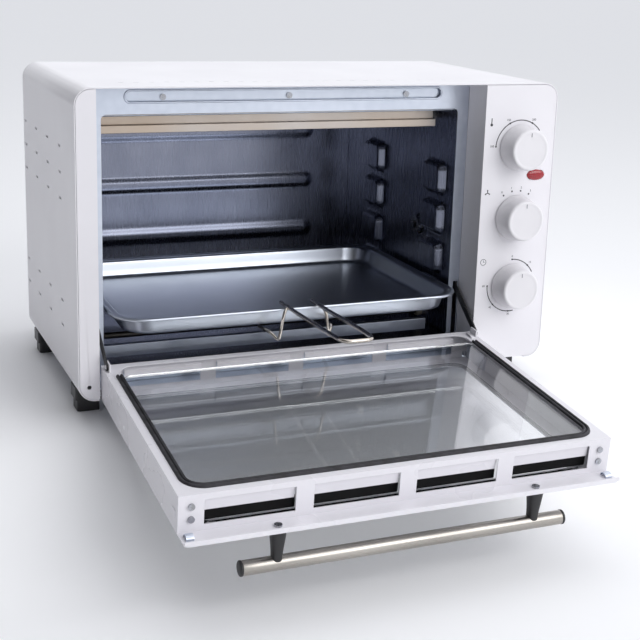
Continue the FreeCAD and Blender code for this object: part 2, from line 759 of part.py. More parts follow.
# ---------------------------------------------------------------- cavity
def cavity():
    """The five liners of the oven's chamber, with rack bosses on its sides and beads on its back."""
    low_y, high_y = cavity_front, cavity_back
    sides = (("cavity_left_wall", cavity_left - liner, 1), ("cavity_right_wall", cavity_right, -1))
    for label, x0, side in sides:
        wall = Piece(label)
        holes = [circle(spit_y, spit_height, socket_radius + 2)] if side < 0 else []
        wall.pad("YZ", [rect(low_y, cavity_low, high_y, cavity_high)] + holes, x0, x0 + liner)
        face = x0 + liner if side > 0 else x0
        inside, outside = (face, face + boss_rise) if side > 0 else (face - boss_rise, face)
        rest = tray_rim_height - tray_lip - seat_gap - boss_height
        y = low_y + boss_front
        panel = rounded(y, rest, y + boss_length, rest + boss_height, boss_corner)
        wall.pad("YZ", [panel], inside, outside)
        wall.repeat(boss_spacing, 2, rack_pitch, 4)
        wall.done()

    rear = Piece("cavity_back_wall")
    outer = [rect(cavity_left - liner, cavity_low - liner, cavity_right + liner, cavity_high + liner)]
    rear.pad("XZ", outer, cavity_back, cavity_back + liner)
    middle = cavity_low + bead_start
    half = bead_height / 2
    bead = rounded(cavity_left + bead_left, middle - half, cavity_right - bead_right, middle + half,
                   half - 0.3)
    rear.pad("XZ", [bead], cavity_back - bead_rise, cavity_back)
    rear.repeat(1, 1, bead_pitch, 3)
    rear.done()

    roof = Piece("cavity_top_wall")
    span = rect(cavity_left - liner, low_y, cavity_right + liner, high_y)
    roof.pad("XY", [span], cavity_high, cavity_high + liner)
    roof.done()
    floor = Piece("cavity_floor")
    floor.pad("XY", [span], cavity_low - liner, cavity_low)
    floor.done()

    crumb = Piece("crumb_tray")
    x0, x1 = cavity_left + 2, cavity_right - 2
    y0, y1 = low_y + 4, high_y - 6
    t = tray_sheet
    z0 = cavity_low + seat_gap
    crumb.pad("XY", [rect(x0, y0, x1, y1)], z0, z0 + t)
    walls = [rect(x0, y0, x1, y1), rect(x0 + t, y0 + t, x1 - t, y1 - t)]
    crumb.pad("XY", walls, z0 + t, z0 + crumb_height)
    crumb.done()

    levels = (
        ("upper_heaters", cavity_high - upper_heater_drop),
        ("lower_heaters", cavity_low + lower_heater_rise),
    )
    seat = heater_seat
    length = cavity_right - cavity_left - seat * 2
    cap_radius = heater_radius + heater_wall
    caps = []
    for label, z in levels:
        rods = []
        for step in range(2):
            y = low_y + heater_front + heater_spacing * step
            name = "%s_%d" % (label, step)
            rods.append(rod(name, (cavity_left + seat, y, z), "X", length, heater_radius))
            caps.append(rod(name + "_left", (cavity_left, y, z), "X", seat, cap_radius))
            caps.append(rod(name + "_right", (cavity_right - seat, y, z), "X", seat, cap_radius))
        keep(label, group(label + "_set", rods))
    keep("heater_insulators", group("insulator_set", caps))

    y = low_y + guard_back
    x0, x1 = cavity_left, cavity_right - guard_end
    far = y + guard_flange
    z = cavity_high - upper_guard_gap
    foot = z - upper_guard_height
    deep = y + upper_guard_step
    upright = block("upper_guard_web", (x0, deep, foot), (x1, deep + liner, z))
    step = block("upper_guard_fold", (x0, y, foot), (x1, deep, foot + liner))
    lip = block("upper_guard_edge", (x0, y, foot - upper_guard_lip), (x1, y + liner, foot + liner))
    keep("upper_heater_guard", fuse("upper_guard", [upright, step, lip]))
    z = cavity_low + lower_guard_rise
    head = z + guard_height
    upright = block("lower_guard_web", (x0, y, z), (x1, y + liner, head))
    flange = block("lower_guard_lip", (x0, y + liner, head - liner), (x1, far, head))
    keep("lower_heater_guard", fuse("lower_guard", [upright, flange]))


# ---------------------------------------------------------------- tray
def tray():
    """The pressed baking tray, drawn forward, and the wire handle that lifts it."""
    x0, x1 = tray_left, tray_right
    y0 = front + tray_front
    y1 = y0 + tray_rim_depth
    z1 = tray_rim_height
    z0 = z1 - tray_deep
    f = tray_flange
    s = tray_taper
    t = tray_sheet
    c = tray_corner

    def level(inset, z):
        """One rounded outline of the pan at a height."""
        a, b = float(x0 + inset), float(x1 - inset)
        p, q = float(y0 + inset), float(y1 - inset)
        r = float(c - inset * 0.6)
        edges = []
        centres = ((b - r, p + r), (b - r, q - r), (a + r, q - r), (a + r, p + r))
        for number, (cx, cy) in enumerate(centres):
            turns = [math.radians(number * 90 - 90 + k) for k in (0, 45, 90)]
            ends = [V(cx + r * math.cos(k), cy + r * math.sin(k), float(z)) for k in turns]
            edges.append(Part.Arc(*ends).toShape())
        lines = []
        for one, two in zip(edges, edges[1:] + edges[:1]):
            lines.append(Part.LineSegment(one.Vertexes[-1].Point, two.Vertexes[0].Point).toShape())
        return Part.Wire([e for pair in zip(edges, lines) for e in pair])

    outer = Part.makeLoft([level(f + s, z0), level(f, z1)], True, True)
    hollow = Part.makeLoft([level(f + s + t, z0 + t), level(f + t, z1)], True, True)
    low = z1 - tray_lip
    brim = Part.Face(level(0, low)).extrude(V(0, 0, float(tray_lip)))
    under = Part.Face(level(t, low - 1)).extrude(V(0, 0, float(tray_lip - t + 1)))
    pan = brim.cut(under).fuse(outer).cut(hollow)
    keep("baking_tray", shaped("pan", pan.removeSplitter()))

    w = float(grip_wire)
    half = float(grip_half)
    out = float(grip_reach)
    foot = float(grip_foot)
    x, y, z = float(bay_middle), float(y0), float(z1) + w + 0.6
    loop = [
        (x - half, y + 14, z),
        (x - half, y - out + 10, z + 4),
        (x - half + 6, y - out, z + 4),
        (x + half - 6, y - out, z + 4),
        (x + half, y - out + 10, z + 4),
        (x + half, y + 14, z),
    ]
    grip = wire(loop, w, 3)
    parts = [grip]
    for side in (-1, 1):
        low = float(z0) - w - 1.5
        claw = [
            (x + side * half, y - 8, z),
            (x + side * (foot - 4), y - 8, z - 6),
            (x + side * (foot - 3), y - 6, low - 4),
            (x + side * foot, y + 24, low + 1),
        ]
        parts.append(wire(claw, w * 0.8, 3))
    whole = parts[0].fuse(parts[1:])
    keep("tray_handle", shaped("grip", whole))


# ---------------------------------------------------------------- drive and controls
def drive():
    """The spit motor, its socket in the right wall, and the plain bearing bracket at the left."""
    x = cavity_right
    shell_x = x + liner
    face = shell_x + motor_gap
    body = rod("motor_can", (face, spit_y, spit_height), "X", motor_depth, motor_radius)
    ear = block("motor_ears", (face, spit_y - motor_radius - 9, spit_height - 7),
                (face + 1.5, spit_y + motor_radius + 9, spit_height + 7))
    legs = []
    for side in (-1, 1):
        spot = (shell_x, spit_y + (motor_radius + 5) * side, spit_height)
        legs.append(rod("motor_leg_%d" % (side + 1), spot, "X", motor_gap, 3))
    bore = rod("motor_bore", (face - 1, spit_y, spit_height), "X", 13, spindle_radius + running_gap)
    keep("spit_motor", cut("motor", fuse("motor_solid", [body, ear] + legs), [bore]))

    cup = rod("socket_cup", (x - 6, spit_y, spit_height), "X", socket_length, socket_radius)
    spindle = rod("socket_spindle", (x + socket_length - 6, spit_y, spit_height), "X",
                  11 - socket_length + 16, spindle_radius)
    hole = rod("socket_hole", (x - 7, spit_y, spit_height), "X", socket_length - 2, socket_bore)
    keep("drive_socket", cut("socket", fuse("socket_solid", [cup, spindle]), [hole]))

    y, z = spit_y, spit_height
    start = cavity_left + 1.5
    plate = block("support_plate", (cavity_left, y - 7, z - 14), (start, y + 12, z + 12))
    arm = block("support_arm", (start, y - 7, z - 14), (cavity_left + 11, y + 8, z + 6))
    notch = rod("support_notch", (start, y, z), "X", 12, 4)
    gate = block("support_gate", (start, y - 4, z), (cavity_left + 12, y + 4, z + 8))
    keep("spit_support", cut("support", fuse("support_solid", [plate, arm]), [notch, gate]))


def controls():
    """Three knobs on their shafts, the switches behind the panel, and the pilot lamp."""
    behind = front + control_depth
    names = (("timer", -1), ("function", 0), ("temperature", 1))
    holes = []
    for name, step in names:
        z = knob_middle + knob_pitch * step
        holes.append(circle(panel_middle, z, 6))
    bracket = Piece("control_bracket")
    reach = knob_pitch + 34
    x0, x1 = panel_middle - bracket_half, panel_middle + bracket_half
    low, high = knob_middle - reach, knob_middle + reach
    bracket.pad("XZ", [rect(x0, low, x1, high)] + holes, behind, behind + 1.5)
    web = rect(front + panel_wall, low, behind, high)
    bracket.pad("YZ", [web], x0, x0 + 1.5)
    bracket.pad("YZ", [web], x1 - 1.5, x1)
    bracket.done()

    deep = {"timer": 30, "function": 26, "temperature": 22}
    parts = {"timer": "timer_clock", "function": "function_switch", "temperature": "thermostat"}
    for name, step in names:
        z = knob_middle + knob_pitch * step
        half = control_size / 2
        start = behind + 1.5
        case = block(name + "_case", (panel_middle - half, start, z - half),
                     (panel_middle + half, start + deep[name], z + half))
        nose = rod(name + "_nose", (panel_middle, behind - 4, z), "Y", 8, 5.6)
        bore = rod(name + "_bore", (panel_middle, behind - 6, z), "Y", 20, shaft_radius + running_gap)
        keep(parts[name], cut(name + "_switch", fuse(name + "_switch_solid", [case, nose]), [bore]))

        tip = front - knob_hub
        length = behind - tip + shaft_seat
        shaft = rod(name + "_shaft_rod", (panel_middle, tip, z), "Y", length, shaft_radius)
        keep(name + "_shaft", shaft)

        knob = Piece(name + "_knob")
        near = front - knob_gap
        far = near - knob_depth
        profile = [
            (shaft_radius, near),
            (knob_radius, near),
            (knob_radius, near - 5),
            (knob_radius - 2.2, far + 2.5),
            (knob_radius - 4.5, far),
            (0, far),
            (0, tip),
            (shaft_radius, tip),
        ]
        knob.turn([outline(profile)], (panel_middle, z))
        mark = rounded(panel_middle - 1, z + knob_radius - 12, panel_middle + 1, z + knob_radius - 5.5, 0.8)
        knob.pocket("XZ", [mark], far - 1, far + 0.6)
        knob.done()

    lamp_x = panel_middle + lamp_offset
    half, wide = lamp_length / 2, lamp_width / 2
    lens = Piece("lamp_lens")
    brow = lamp_lip
    lens.pad("XZ", [rounded(lamp_x - half - brow, lamp_height - wide - brow, lamp_x + half + brow,
                            lamp_height + wide + brow, wide + 0.9)], front - lamp_rise, front)
    lens.pad("XZ", [rounded(lamp_x - half + 0.2, lamp_height - wide + 0.2, lamp_x + half - 0.2,
                            lamp_height + wide - 0.2, wide - 0.5)], front, front + panel_wall)
    lens.done()
    start = front + panel_wall
    case = block("lamp_case", (lamp_x - half, start, lamp_height - wide),
                 (lamp_x + half, start + lamp_case, lamp_height + wide))
    keep("lamp_holder", case)
    y1 = back - terminal_back
    box = block("terminals", (right - 62, y1 - terminal_depth, base + 60), (right - 20, y1, base + 76))
    keep("terminal_block", box)


# ---------------------------------------------------------------- door
def door():
    """The door's skin, slotted frame, panes, seal, hinges, screws and handle."""
    skin_face = -door_outer
    skin_back = skin_face + skin
    middle = bay_middle

    outer = Piece("door_skin")
    m = outer_margin
    face = [
        rounded(door_left, door_foot, door_right, door_skin_top, 4),
        rounded(door_left + m, door_foot + m, door_right - m, door_frame_top - m / 2, window_corner),
    ]
    for side in (-1, 1):
        face.append(circle(middle + post_offset * side, bar_height, screw_radius + 0.2))
    outer.pad("XZ", face, skin_face, skin_back)
    lip = rect(door_left, door_skin_top - skin, door_right, door_skin_top)
    outer.pad("XZ", [lip], skin_back, skin_back + 3)
    hang(outer.done())

    inner = Piece("door_frame")
    t = door_sheet
    high = door_inner
    ring = [
        rect(door_left, door_foot, door_right, door_frame_top),
        rect(door_left + t, door_foot + t, door_right - t, door_frame_top - t),
    ]
    inner.pad("XZ", ring, skin_back, high - t)
    pane_left, pane_right = door_left + window_side, door_right - window_side
    pane_low, pane_top = door_foot + window_foot, door_frame_top - window_top
    mouth = [
        rect(door_left, door_foot, door_right, door_frame_top),
        rounded(pane_left, door_foot + flange_foot, pane_right, pane_top, window_corner),
    ]
    inner.pad("XZ", mouth, high - t, high)
    span = door_right - door_left - slot_end * 2
    width = (span - slot_web * 3) / 4
    start = door_left + slot_end
    inner.pocket("XY", [rect(start, slot_low, start + width, slot_high)], door_foot - 1, door_frame_top + 1)
    inner.repeat(width + slot_web, 4)
    inner.pocket("YZ", [circle(0, 0, hinge_pin_radius + 1.5)], door_left - 1, door_left + 8)
    inner.pocket("YZ", [circle(0, 0, hinge_pin_radius + 1.5)], door_right - 8, door_right + 1)
    hang(inner.done())

    glass = Piece("inner_glass")
    lap = glass_lap
    sheet_glass = rounded(pane_left - lap, pane_low - lap, pane_right + lap, pane_top + lap, window_corner)
    glass.pad("XZ", [sheet_glass], high - t - glass_thick, high - t)
    hang(glass.done())
    pane = Piece("outer_glass")
    pane.pad("XZ", [rounded(door_left + m - lap, door_foot + m - lap, door_right - m + lap,
                            door_frame_top - m / 2 + lap, window_corner)], skin_back, skin_back + outer_glass)
    hang(pane.done())

    seal = Piece("door_seal")
    w = seal_width
    u = [
        rounded(pane_left - w, pane_low - 4, pane_right + w, pane_top + w, window_corner + w / 2),
        rounded(pane_left - 0.5, pane_low + 4, pane_right + 0.5, pane_top + 0.5, window_corner),
    ]
    seal.pad("XZ", u, high, high + seal_rise)
    gate = rect(pane_left + 3, pane_low - 6, pane_right - 3, pane_low + 8)
    seal.pocket("XZ", [gate], high - 1, high + seal_rise + 1)
    hang(seal.done())

    tabs = []
    for side, edge in ((1, door_left), (-1, door_right)):
        name = "hinge_tab_%d" % (side + 1)
        thick = hinge_tab
        low_x, high_x = (edge + t, edge + t + thick) if side > 0 else (edge - t - thick, edge - t)
        neck_half = hinge_pin_radius - 0.2
        ear = block(name + "_ear", (low_x, skin_back, door_foot + t), (high_x, 12, 40))
        neck = block(name + "_neck", (low_x, -neck_half, 0), (high_x, neck_half, door_foot + t))
        barrel = rod(name + "_barrel", (low_x, 0, 0), "X", thick, hinge_pin_radius + 1.2)
        eye = rod(name + "_eye", (low_x - 1, 0, 0), "X", thick + 2, hinge_pin_radius + running_gap)
        tabs.append(cut(name, fuse(name + "_solid", [ear, neck, barrel]), [eye]))
    hang(keep("hinge_tabs", group("hinge_tab_set", tabs)))

    heads = []
    for number, y in enumerate((slot_high - 4.6, slot_low + 6)):
        for side, edge in ((1, door_left), (-1, door_right)):
            name = "door_screw_%d_%d" % (number, side + 1)
            spot = (edge + slot_end / 2 * side, y, door_frame_top)
            heads.append(rod(name, spot, "Z", screw_head_rise, screw_head - 0.6))
    hang(keep("door_screws", group("door_screw_set", heads)))

    bar_y = -bar_out
    bar_start = middle - bar_length / 2
    bar_end = middle + bar_length / 2
    tube_length = bar_length - bar_cap * 2
    bar = rod("bar_rod", (bar_start + bar_cap, bar_y, bar_height), "X", tube_length, bar_radius)
    hang(keep("handle_bar", group("bar_tube", [bar])))
    caps = []
    for number, x in enumerate((bar_start, bar_end - bar_cap)):
        name = "bar_cap_%d" % number
        caps.append(rod(name, (x, bar_y, bar_height), "X", bar_cap, bar_radius + 0.3))
    hang(keep("handle_end_caps", group("bar_cap_set", caps)))
    screws = []
    for side, label in ((-1, "left_handle_post"), (1, "right_handle_post")):
        x = middle + post_offset * side
        wrap = bar_radius + post_wall
        reach = bar_out - door_outer
        z = bar_height
        stalk = cone(label + "_stalk", (x, bar_y, z), reach, post_width / 2, post_root / 2)
        ring = rod(label + "_ring", (x - post_width / 2, bar_y, z), "X", post_width, wrap)
        hole = rod(label + "_hole", (x - post_width, bar_y, z), "X", post_width * 2, bar_radius)
        start = skin_face - post_thread
        screw_hole = rod(label + "_thread", (x, start, z), "Y", post_thread + 2, screw_radius)
        post = cut(label + "_solid", fuse(label + "_outer", [stalk, ring]), [hole, screw_hole])
        hang(keep(label, post))
        shank = rod(label + "_shank", (x, start, z), "Y", post_thread + skin, screw_radius)
        head = rod(label + "_screw_head", (x, skin_back, z), "Y", screw_head_rise, screw_head)
        screws.append(fuse(label + "_screw", [shank, head]))
    hang(keep("handle_screws", group("handle_screw_set", screws)))

    pins = []
    bite = hinge_pin_bite
    inward = t + hinge_tab * 2
    left_pin = (bay_left - bite, door_left + inward)
    right_pin = (door_right - inward, bay_right + bite)
    for number, (start, end) in enumerate((left_pin, right_pin)):
        name = "hinge_pin_%d" % number
        pins.append(rod(name, (start, hinge_y, hinge_z), "X", end - start, hinge_pin_radius))
    keep("hinge_pins", group("hinge_pin_set", pins))


def stays():
    """The two flat stays that steady the door, their pins and the springs that pull on them.

    The springs' wire has eight sides.
    """
    slope = math.radians(float(stay_slope))
    angle = math.radians(float(door_open_angle))
    y, z = float(stay_inward), float(stay_height)
    pin_y = float(hinge_y) + y * math.cos(angle) - z * math.sin(angle)
    pin_z = float(hinge_z) + y * math.sin(angle) + z * math.cos(angle)
    along = V(0, math.cos(slope), math.sin(slope))
    across = V(0, -math.sin(slope), math.cos(slope))
    half = float(stay_width) / 2
    reach = float(stay_length)
    thick = float(stay_thick)
    clips = []
    places = (("left_stay", bay_left + stay_offset), ("right_stay", bay_right - stay_offset))
    for label, place in places:
        x = float(place)
        start = V(x - thick / 2, pin_y, pin_z)
        tip = start + along * reach
        edges = [
            Part.LineSegment(start + across * half, tip + across * half).toShape(),
            Part.Arc(tip + across * half, tip + along * half, tip - across * half).toShape(),
            Part.LineSegment(tip - across * half, start - across * half).toShape(),
            Part.Arc(start - across * half, start - along * half, start + across * half).toShape(),
        ]
        bar = Part.Face(Part.Wire(edges)).extrude(V(thick, 0, 0))
        eye_radius = float(stay_pin_radius + running_gap)
        eye = Part.makeCylinder(eye_radius, thick + 2, start - V(1, 0, 0), V(1, 0, 0))
        keep(label, shaped(label + "_bar", bar.cut(eye)))

        outer = 1 if x > float(bay_middle) else -1
        inside = x - outer * (thick / 2 + 0.3)
        tab_x = inside - outer * 1.5
        y0, z0 = float(door_inner), float(stay_height)
        low, high = sorted((inside, tab_x))
        tab = Part.makeBox(high - low, float(stay_inward) - y0 + 4, 12, V(low, y0, z0 - 6))
        reach_x = thick + 0.6 + 1.5
        pin = Part.makeCylinder(float(stay_pin_radius), reach_x, V(tab_x, y, z), V(outer, 0, 0))
        clips.append(shaped(label + "_clip", tab.fuse(pin)))
    hang(keep("stay_brackets", group("stay_bracket_set", clips)))

    springs = []
    coil = float(spring_radius)
    lay = FreeCAD.Rotation(V(1, 0, 0), -90)
    bends = [math.radians(45 * step) for step in range(8)]
    thick = float(spring_wire)
    section = [V(coil + thick * math.cos(bend), 0, thick * math.sin(bend)) for bend in bends]
    y, z = float(front + spring_start), float(base + spring_rise)
    places = (("left_spring", cavity_left - spring_side), ("right_spring", cavity_right + spring_side))
    for label, x in places:
        helix = Part.makeHelix(float(spring_pitch), float(spring_length), coil)
        ring = Part.makePolygon(section + section[:1])
        turns = Part.Wire(helix).makePipeShell([ring], True, True)
        turns.Placement = FreeCAD.Placement(V(float(x), y, z), lay)
        springs.append(shaped(label, turns))
    keep("stay_springs", group("spring_set", springs))


casing()
front_pieces()
cavity()
tray()
drive()
controls()
door()
stays()
doc.recompute()

faults = []
for item in doc.Objects:
    if "Invalid" in item.State or "Error" in item.State:
        faults.append(item.Name)
for node in nodes:
    if node.Shape.isNull() or not node.Shape.isValid() or not node.Shape.Solids:
        faults.append(node.Label)
if faults:
    raise RuntimeError("failed: " + ", ".join(faults))
os.makedirs("parts", exist_ok=True)
for node in nodes:
    node.Shape.exportStep(os.path.join("parts", node.Label + ".step"))
print(len(nodes), "nodes")
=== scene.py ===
"""Looks of a countertop rotisserie oven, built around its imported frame.

Every length is in metres in the row's own frame: +Z up, +Y from front to back. Pieces on the
door are drawn as if the door were shut, about the hinge line, and Hinge.swing() puts them in the
open pose.
"""

import logging
import math
from dataclasses import dataclass, field
from enum import Enum
from typing import Any, Callable, Iterable, Sequence

import bmesh
import bpy
from mathutils import Matrix, Vector


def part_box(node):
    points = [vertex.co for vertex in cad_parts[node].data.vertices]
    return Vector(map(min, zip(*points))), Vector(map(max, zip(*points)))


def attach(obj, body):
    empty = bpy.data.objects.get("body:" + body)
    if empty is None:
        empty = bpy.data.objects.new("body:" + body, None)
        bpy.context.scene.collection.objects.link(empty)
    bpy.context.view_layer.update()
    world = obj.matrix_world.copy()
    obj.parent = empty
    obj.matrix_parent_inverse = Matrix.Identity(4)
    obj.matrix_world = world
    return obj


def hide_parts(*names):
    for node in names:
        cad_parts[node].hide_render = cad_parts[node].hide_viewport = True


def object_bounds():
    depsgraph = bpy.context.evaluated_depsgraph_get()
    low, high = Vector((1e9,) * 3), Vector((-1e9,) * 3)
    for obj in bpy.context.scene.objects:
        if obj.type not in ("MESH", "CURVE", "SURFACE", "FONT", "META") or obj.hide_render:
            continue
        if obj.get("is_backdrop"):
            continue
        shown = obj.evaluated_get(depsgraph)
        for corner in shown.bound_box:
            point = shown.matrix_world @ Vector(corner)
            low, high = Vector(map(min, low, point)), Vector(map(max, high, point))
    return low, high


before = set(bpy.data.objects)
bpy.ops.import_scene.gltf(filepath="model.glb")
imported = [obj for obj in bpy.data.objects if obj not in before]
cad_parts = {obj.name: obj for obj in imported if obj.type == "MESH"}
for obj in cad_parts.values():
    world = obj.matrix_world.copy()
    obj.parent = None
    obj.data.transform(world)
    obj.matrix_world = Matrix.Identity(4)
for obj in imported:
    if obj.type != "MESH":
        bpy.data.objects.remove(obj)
cad_box = [list(corner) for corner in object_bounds()]

log = logging.getLogger("oven")

Point = tuple[float, float, float]
Pair = tuple[float, float]
Place = tuple[int, int]
MM = 0.001
SAME_POINT = 1e-7
SAME_SEAM = 1e-6
CRISP = 40.0


class Body(Enum):
    """The moving bodies of the frame that pieces ride on."""

    CASING = "casing"
    DOOR = "door"
    TRAY = "baking_tray"
    GRIP = "tray_handle"
    TEMPERATURE = "temperature_knob"
    FUNCTION = "function_knob"
    TIMER = "timer_knob"


class Grain(Enum):
    """The direction that a brushed or rolled metal's lines run along."""

    ALONG_X = (0.02, 1.0, 1.0)
    ALONG_Z = (1.0, 1.0, 0.02)


# ---------------------------------------------------------------- nodes and colours
def linear(hex_colour: str) -> tuple[float, float, float, float]:
    """Turn an sRGB hex colour to linear.

    Args:
        hex_colour: The colour as six hex digits after a #.

    Returns:
        Linear red, green and blue, and an alpha of 1.
    """
    parts = [int(hex_colour[i:i + 2], 16) / 255 for i in (1, 3, 5)]
    made = [c / 12.92 if c <= 0.04045 else ((c + 0.055) / 1.055) ** 2.4 for c in parts]
    return (made[0], made[1], made[2], 1.0)


def add(tree: bpy.types.NodeTree, kind: str, inputs: dict[Any, Any] | None = None,
        **settings: Any) -> bpy.types.Node:
    """Add one node with its settings, its values and its links.

    Args:
        tree: The node tree that gets the node.
        kind: The node's type, without the ShaderNode in front.
        inputs: Input names or numbers, each with a value, or with the output socket that feeds it.
        **settings: The node's own properties.

    Returns:
        The new node.
    """
    node = tree.nodes.new("ShaderNode" + kind)
    for name, value in settings.items():
        setattr(node, name, value)
    for name, value in (inputs or {}).items():
        if isinstance(value, bpy.types.NodeSocket):
            tree.links.new(value, node.inputs[name])
        else:
            node.inputs[name].default_value = value
    return node


def show(name: str, data: bpy.types.ID) -> bpy.types.Object:
    """Make an object of some data and put it into the scene.

    Args:
        name: The object's name.
        data: Its mesh, curve, light or camera.

    Returns:
        The new object.
    """
    made = bpy.data.objects.new(name, data)
    bpy.context.scene.collection.objects.link(made)
    return made


def mesh_of(name: str, curve: bpy.types.Curve) -> bpy.types.Mesh:
    """Turn a curve or some letters into a mesh.

    Args:
        name: The name of the object that holds the curve meanwhile.
        curve: The curve or the letters.

    Returns:
        The mesh.
    """
    holder = show(name, curve)
    bpy.context.view_layer.update()
    data = bpy.data.meshes.new_from_object(holder)
    bpy.data.objects.remove(holder)
    return data


@dataclass(frozen=True)
class Finish:
    """What a surface is made of and how it was finished."""

    name: str
    colour: str
    roughness: float
    metallic: float = 0.0
    ior: float = 1.5
    coat: float = 0.0
    coat_roughness: float = 0.08

    def build(self) -> bpy.types.Material:
        """Make the material and let the finish lay its own pattern over it.

        Returns:
            The material.
        """
        material = bpy.data.materials.new(self.name)
        material.use_nodes = True
        tree = material.node_tree
        tree.nodes.clear()
        shader = add(tree, "BsdfPrincipled", {
            "Base Color": linear(self.colour), "Roughness": self.roughness,
            "Metallic": self.metallic})
        if not self.metallic:
            shader.inputs["IOR"].default_value = self.ior
        if self.coat:
            shader.inputs["Coat Weight"].default_value = self.coat
            shader.inputs["Coat Roughness"].default_value = self.coat_roughness
        add(tree, "OutputMaterial", {"Surface": shader.outputs["BSDF"]})
        material.diffuse_color = linear(self.colour)
        self.pattern(tree, shader)
        return material

    def pattern(self, tree: bpy.types.NodeTree, shader: bpy.types.Node) -> None:
        """Lay the finish's own variation over the plain surface."""

    def tint(self, tree: bpy.types.NodeTree, shader: bpy.types.Node,
             amount: bpy.types.NodeSocket, other: str) -> None:
        """Blend the surface's colour towards another one.

        Args:
            tree: The material's nodes.
            shader: The surface's shader.
            amount: The output that says how much, from 0 to 1.
            other: The colour it blends to, as hex.
        """
        mixed = add(tree, "Mix", {"Factor": amount, 6: linear(self.colour), 7: linear(other)},
                    data_type="RGBA")
        tree.links.new(mixed.outputs[2], shader.inputs["Base Color"])

    def spread(self, tree: bpy.types.NodeTree, value: bpy.types.NodeSocket, low: float,
               high: float) -> bpy.types.NodeSocket:
        """Stretch a pattern's middle values, 0.3 to 0.7, over a range from low to high.

        Args:
            tree: The material's nodes.
            value: The pattern's output.
            low: What its low values give.
            high: What its high values give.

        Returns:
            The output that holds the stretched pattern.
        """
        ranged = add(tree, "MapRange", {"Value": value, 1: 0.3, 2: 0.7, 3: low, 4: high})
        return ranged.outputs[0]

    def relief(self, tree: bpy.types.NodeTree, shader: bpy.types.Node,
               height: bpy.types.NodeSocket, depth: float, strength: float = 1.0) -> None:
        """Raise the surface by a pattern.

        Args:
            tree: The material's nodes.
            shader: The surface's shader.
            height: The pattern's output.
            depth: The real height of the pattern, in metres.
            strength: How much of the relief shows.
        """
        bump = add(tree, "Bump", {"Height": height, "Distance": depth, "Strength": strength})
        tree.links.new(bump.outputs["Normal"], shader.inputs["Normal"])


@dataclass(frozen=True)
class StovedEnamel(Finish):
    """Polyester powder stoved on mild steel: a soft, even gloss over a faint orange peel."""

    peel: float = 2.6
    peel_depth: float = 0.000012
    cloud: float = 14.0
    cloud_share: float = 0.3
    sheen: Pair = (-0.02, 0.03)
    soot: str = "#DDDBDF"

    def pattern(self, tree: bpy.types.NodeTree, shader: bpy.types.Node) -> None:
        """Orange peel is about 1 mm across; it is drawn 2.6 mm wide, so that it shows at all.

        Args:
            tree: The material's nodes.
            shader: The surface's shader.
        """
        where = add(tree, "TexCoord").outputs["Object"]
        peel = add(tree, "TexNoise", {"Vector": where, "Scale": 1000 / self.peel, "Detail": 1.5})
        cloud = add(tree, "TexNoise", {"Vector": where, "Scale": self.cloud, "Detail": 3.0})
        self.relief(tree, shader, peel.outputs[0], self.peel_depth)
        share = self.spread(tree, cloud.outputs[0], 0.0, self.cloud_share)
        self.tint(tree, shader, share, self.soot)
        rough = self.spread(tree, cloud.outputs[0], self.roughness + self.sheen[0],
                            self.roughness + self.sheen[1])
        tree.links.new(rough, shader.inputs["Roughness"])


@dataclass(frozen=True)
class RolledSheet(Finish):
    """Cold-rolled sheet with a metal coat: fine lines from the rolls and a slow change of sheen."""

    grain: Grain = Grain.ALONG_X
    line: float = 0.7
    spangle: float = 9.0
    cloud: float = 9.0
    cloudy: str = "#7F8894"
    cloud_share: float = 0.5
    crystal_share: float = 0.3
    streak: float = 0.025
    depth: float = 0.0000012

    def pattern(self, tree: bpy.types.NodeTree, shader: bpy.types.Node) -> None:
        """Roll lines are about 0.1 mm apart; they are drawn 0.7 mm apart. Zinc crystals are 9 mm.

        Args:
            tree: The material's nodes.
            shader: The surface's shader.
        """
        where = add(tree, "TexCoord").outputs["Object"]
        laid = add(tree, "Mapping", {"Vector": where, "Scale": self.grain.value})
        lines = add(tree, "TexNoise", {"Vector": laid.outputs[0], "Scale": 1000 / self.line,
                                       "Detail": 2.0})
        crystals = add(tree, "TexVoronoi", {"Vector": where, "Scale": 1000 / self.spangle})
        cloud = add(tree, "TexNoise", {"Vector": where, "Scale": self.cloud, "Detail": 4.0})
        blend = add(tree, "Mix", {"Factor": self.crystal_share, 2: cloud.outputs[0],
                                  3: crystals.outputs["Distance"]}, data_type="FLOAT")
        share = self.spread(tree, blend.outputs[0], 0.0, self.cloud_share)
        self.tint(tree, shader, share, self.cloudy)
        rough = self.spread(tree, lines.outputs[0], self.roughness - self.streak,
                            self.roughness + self.streak)
        tree.links.new(rough, shader.inputs["Roughness"])
        self.relief(tree, shader, lines.outputs[0], self.depth)


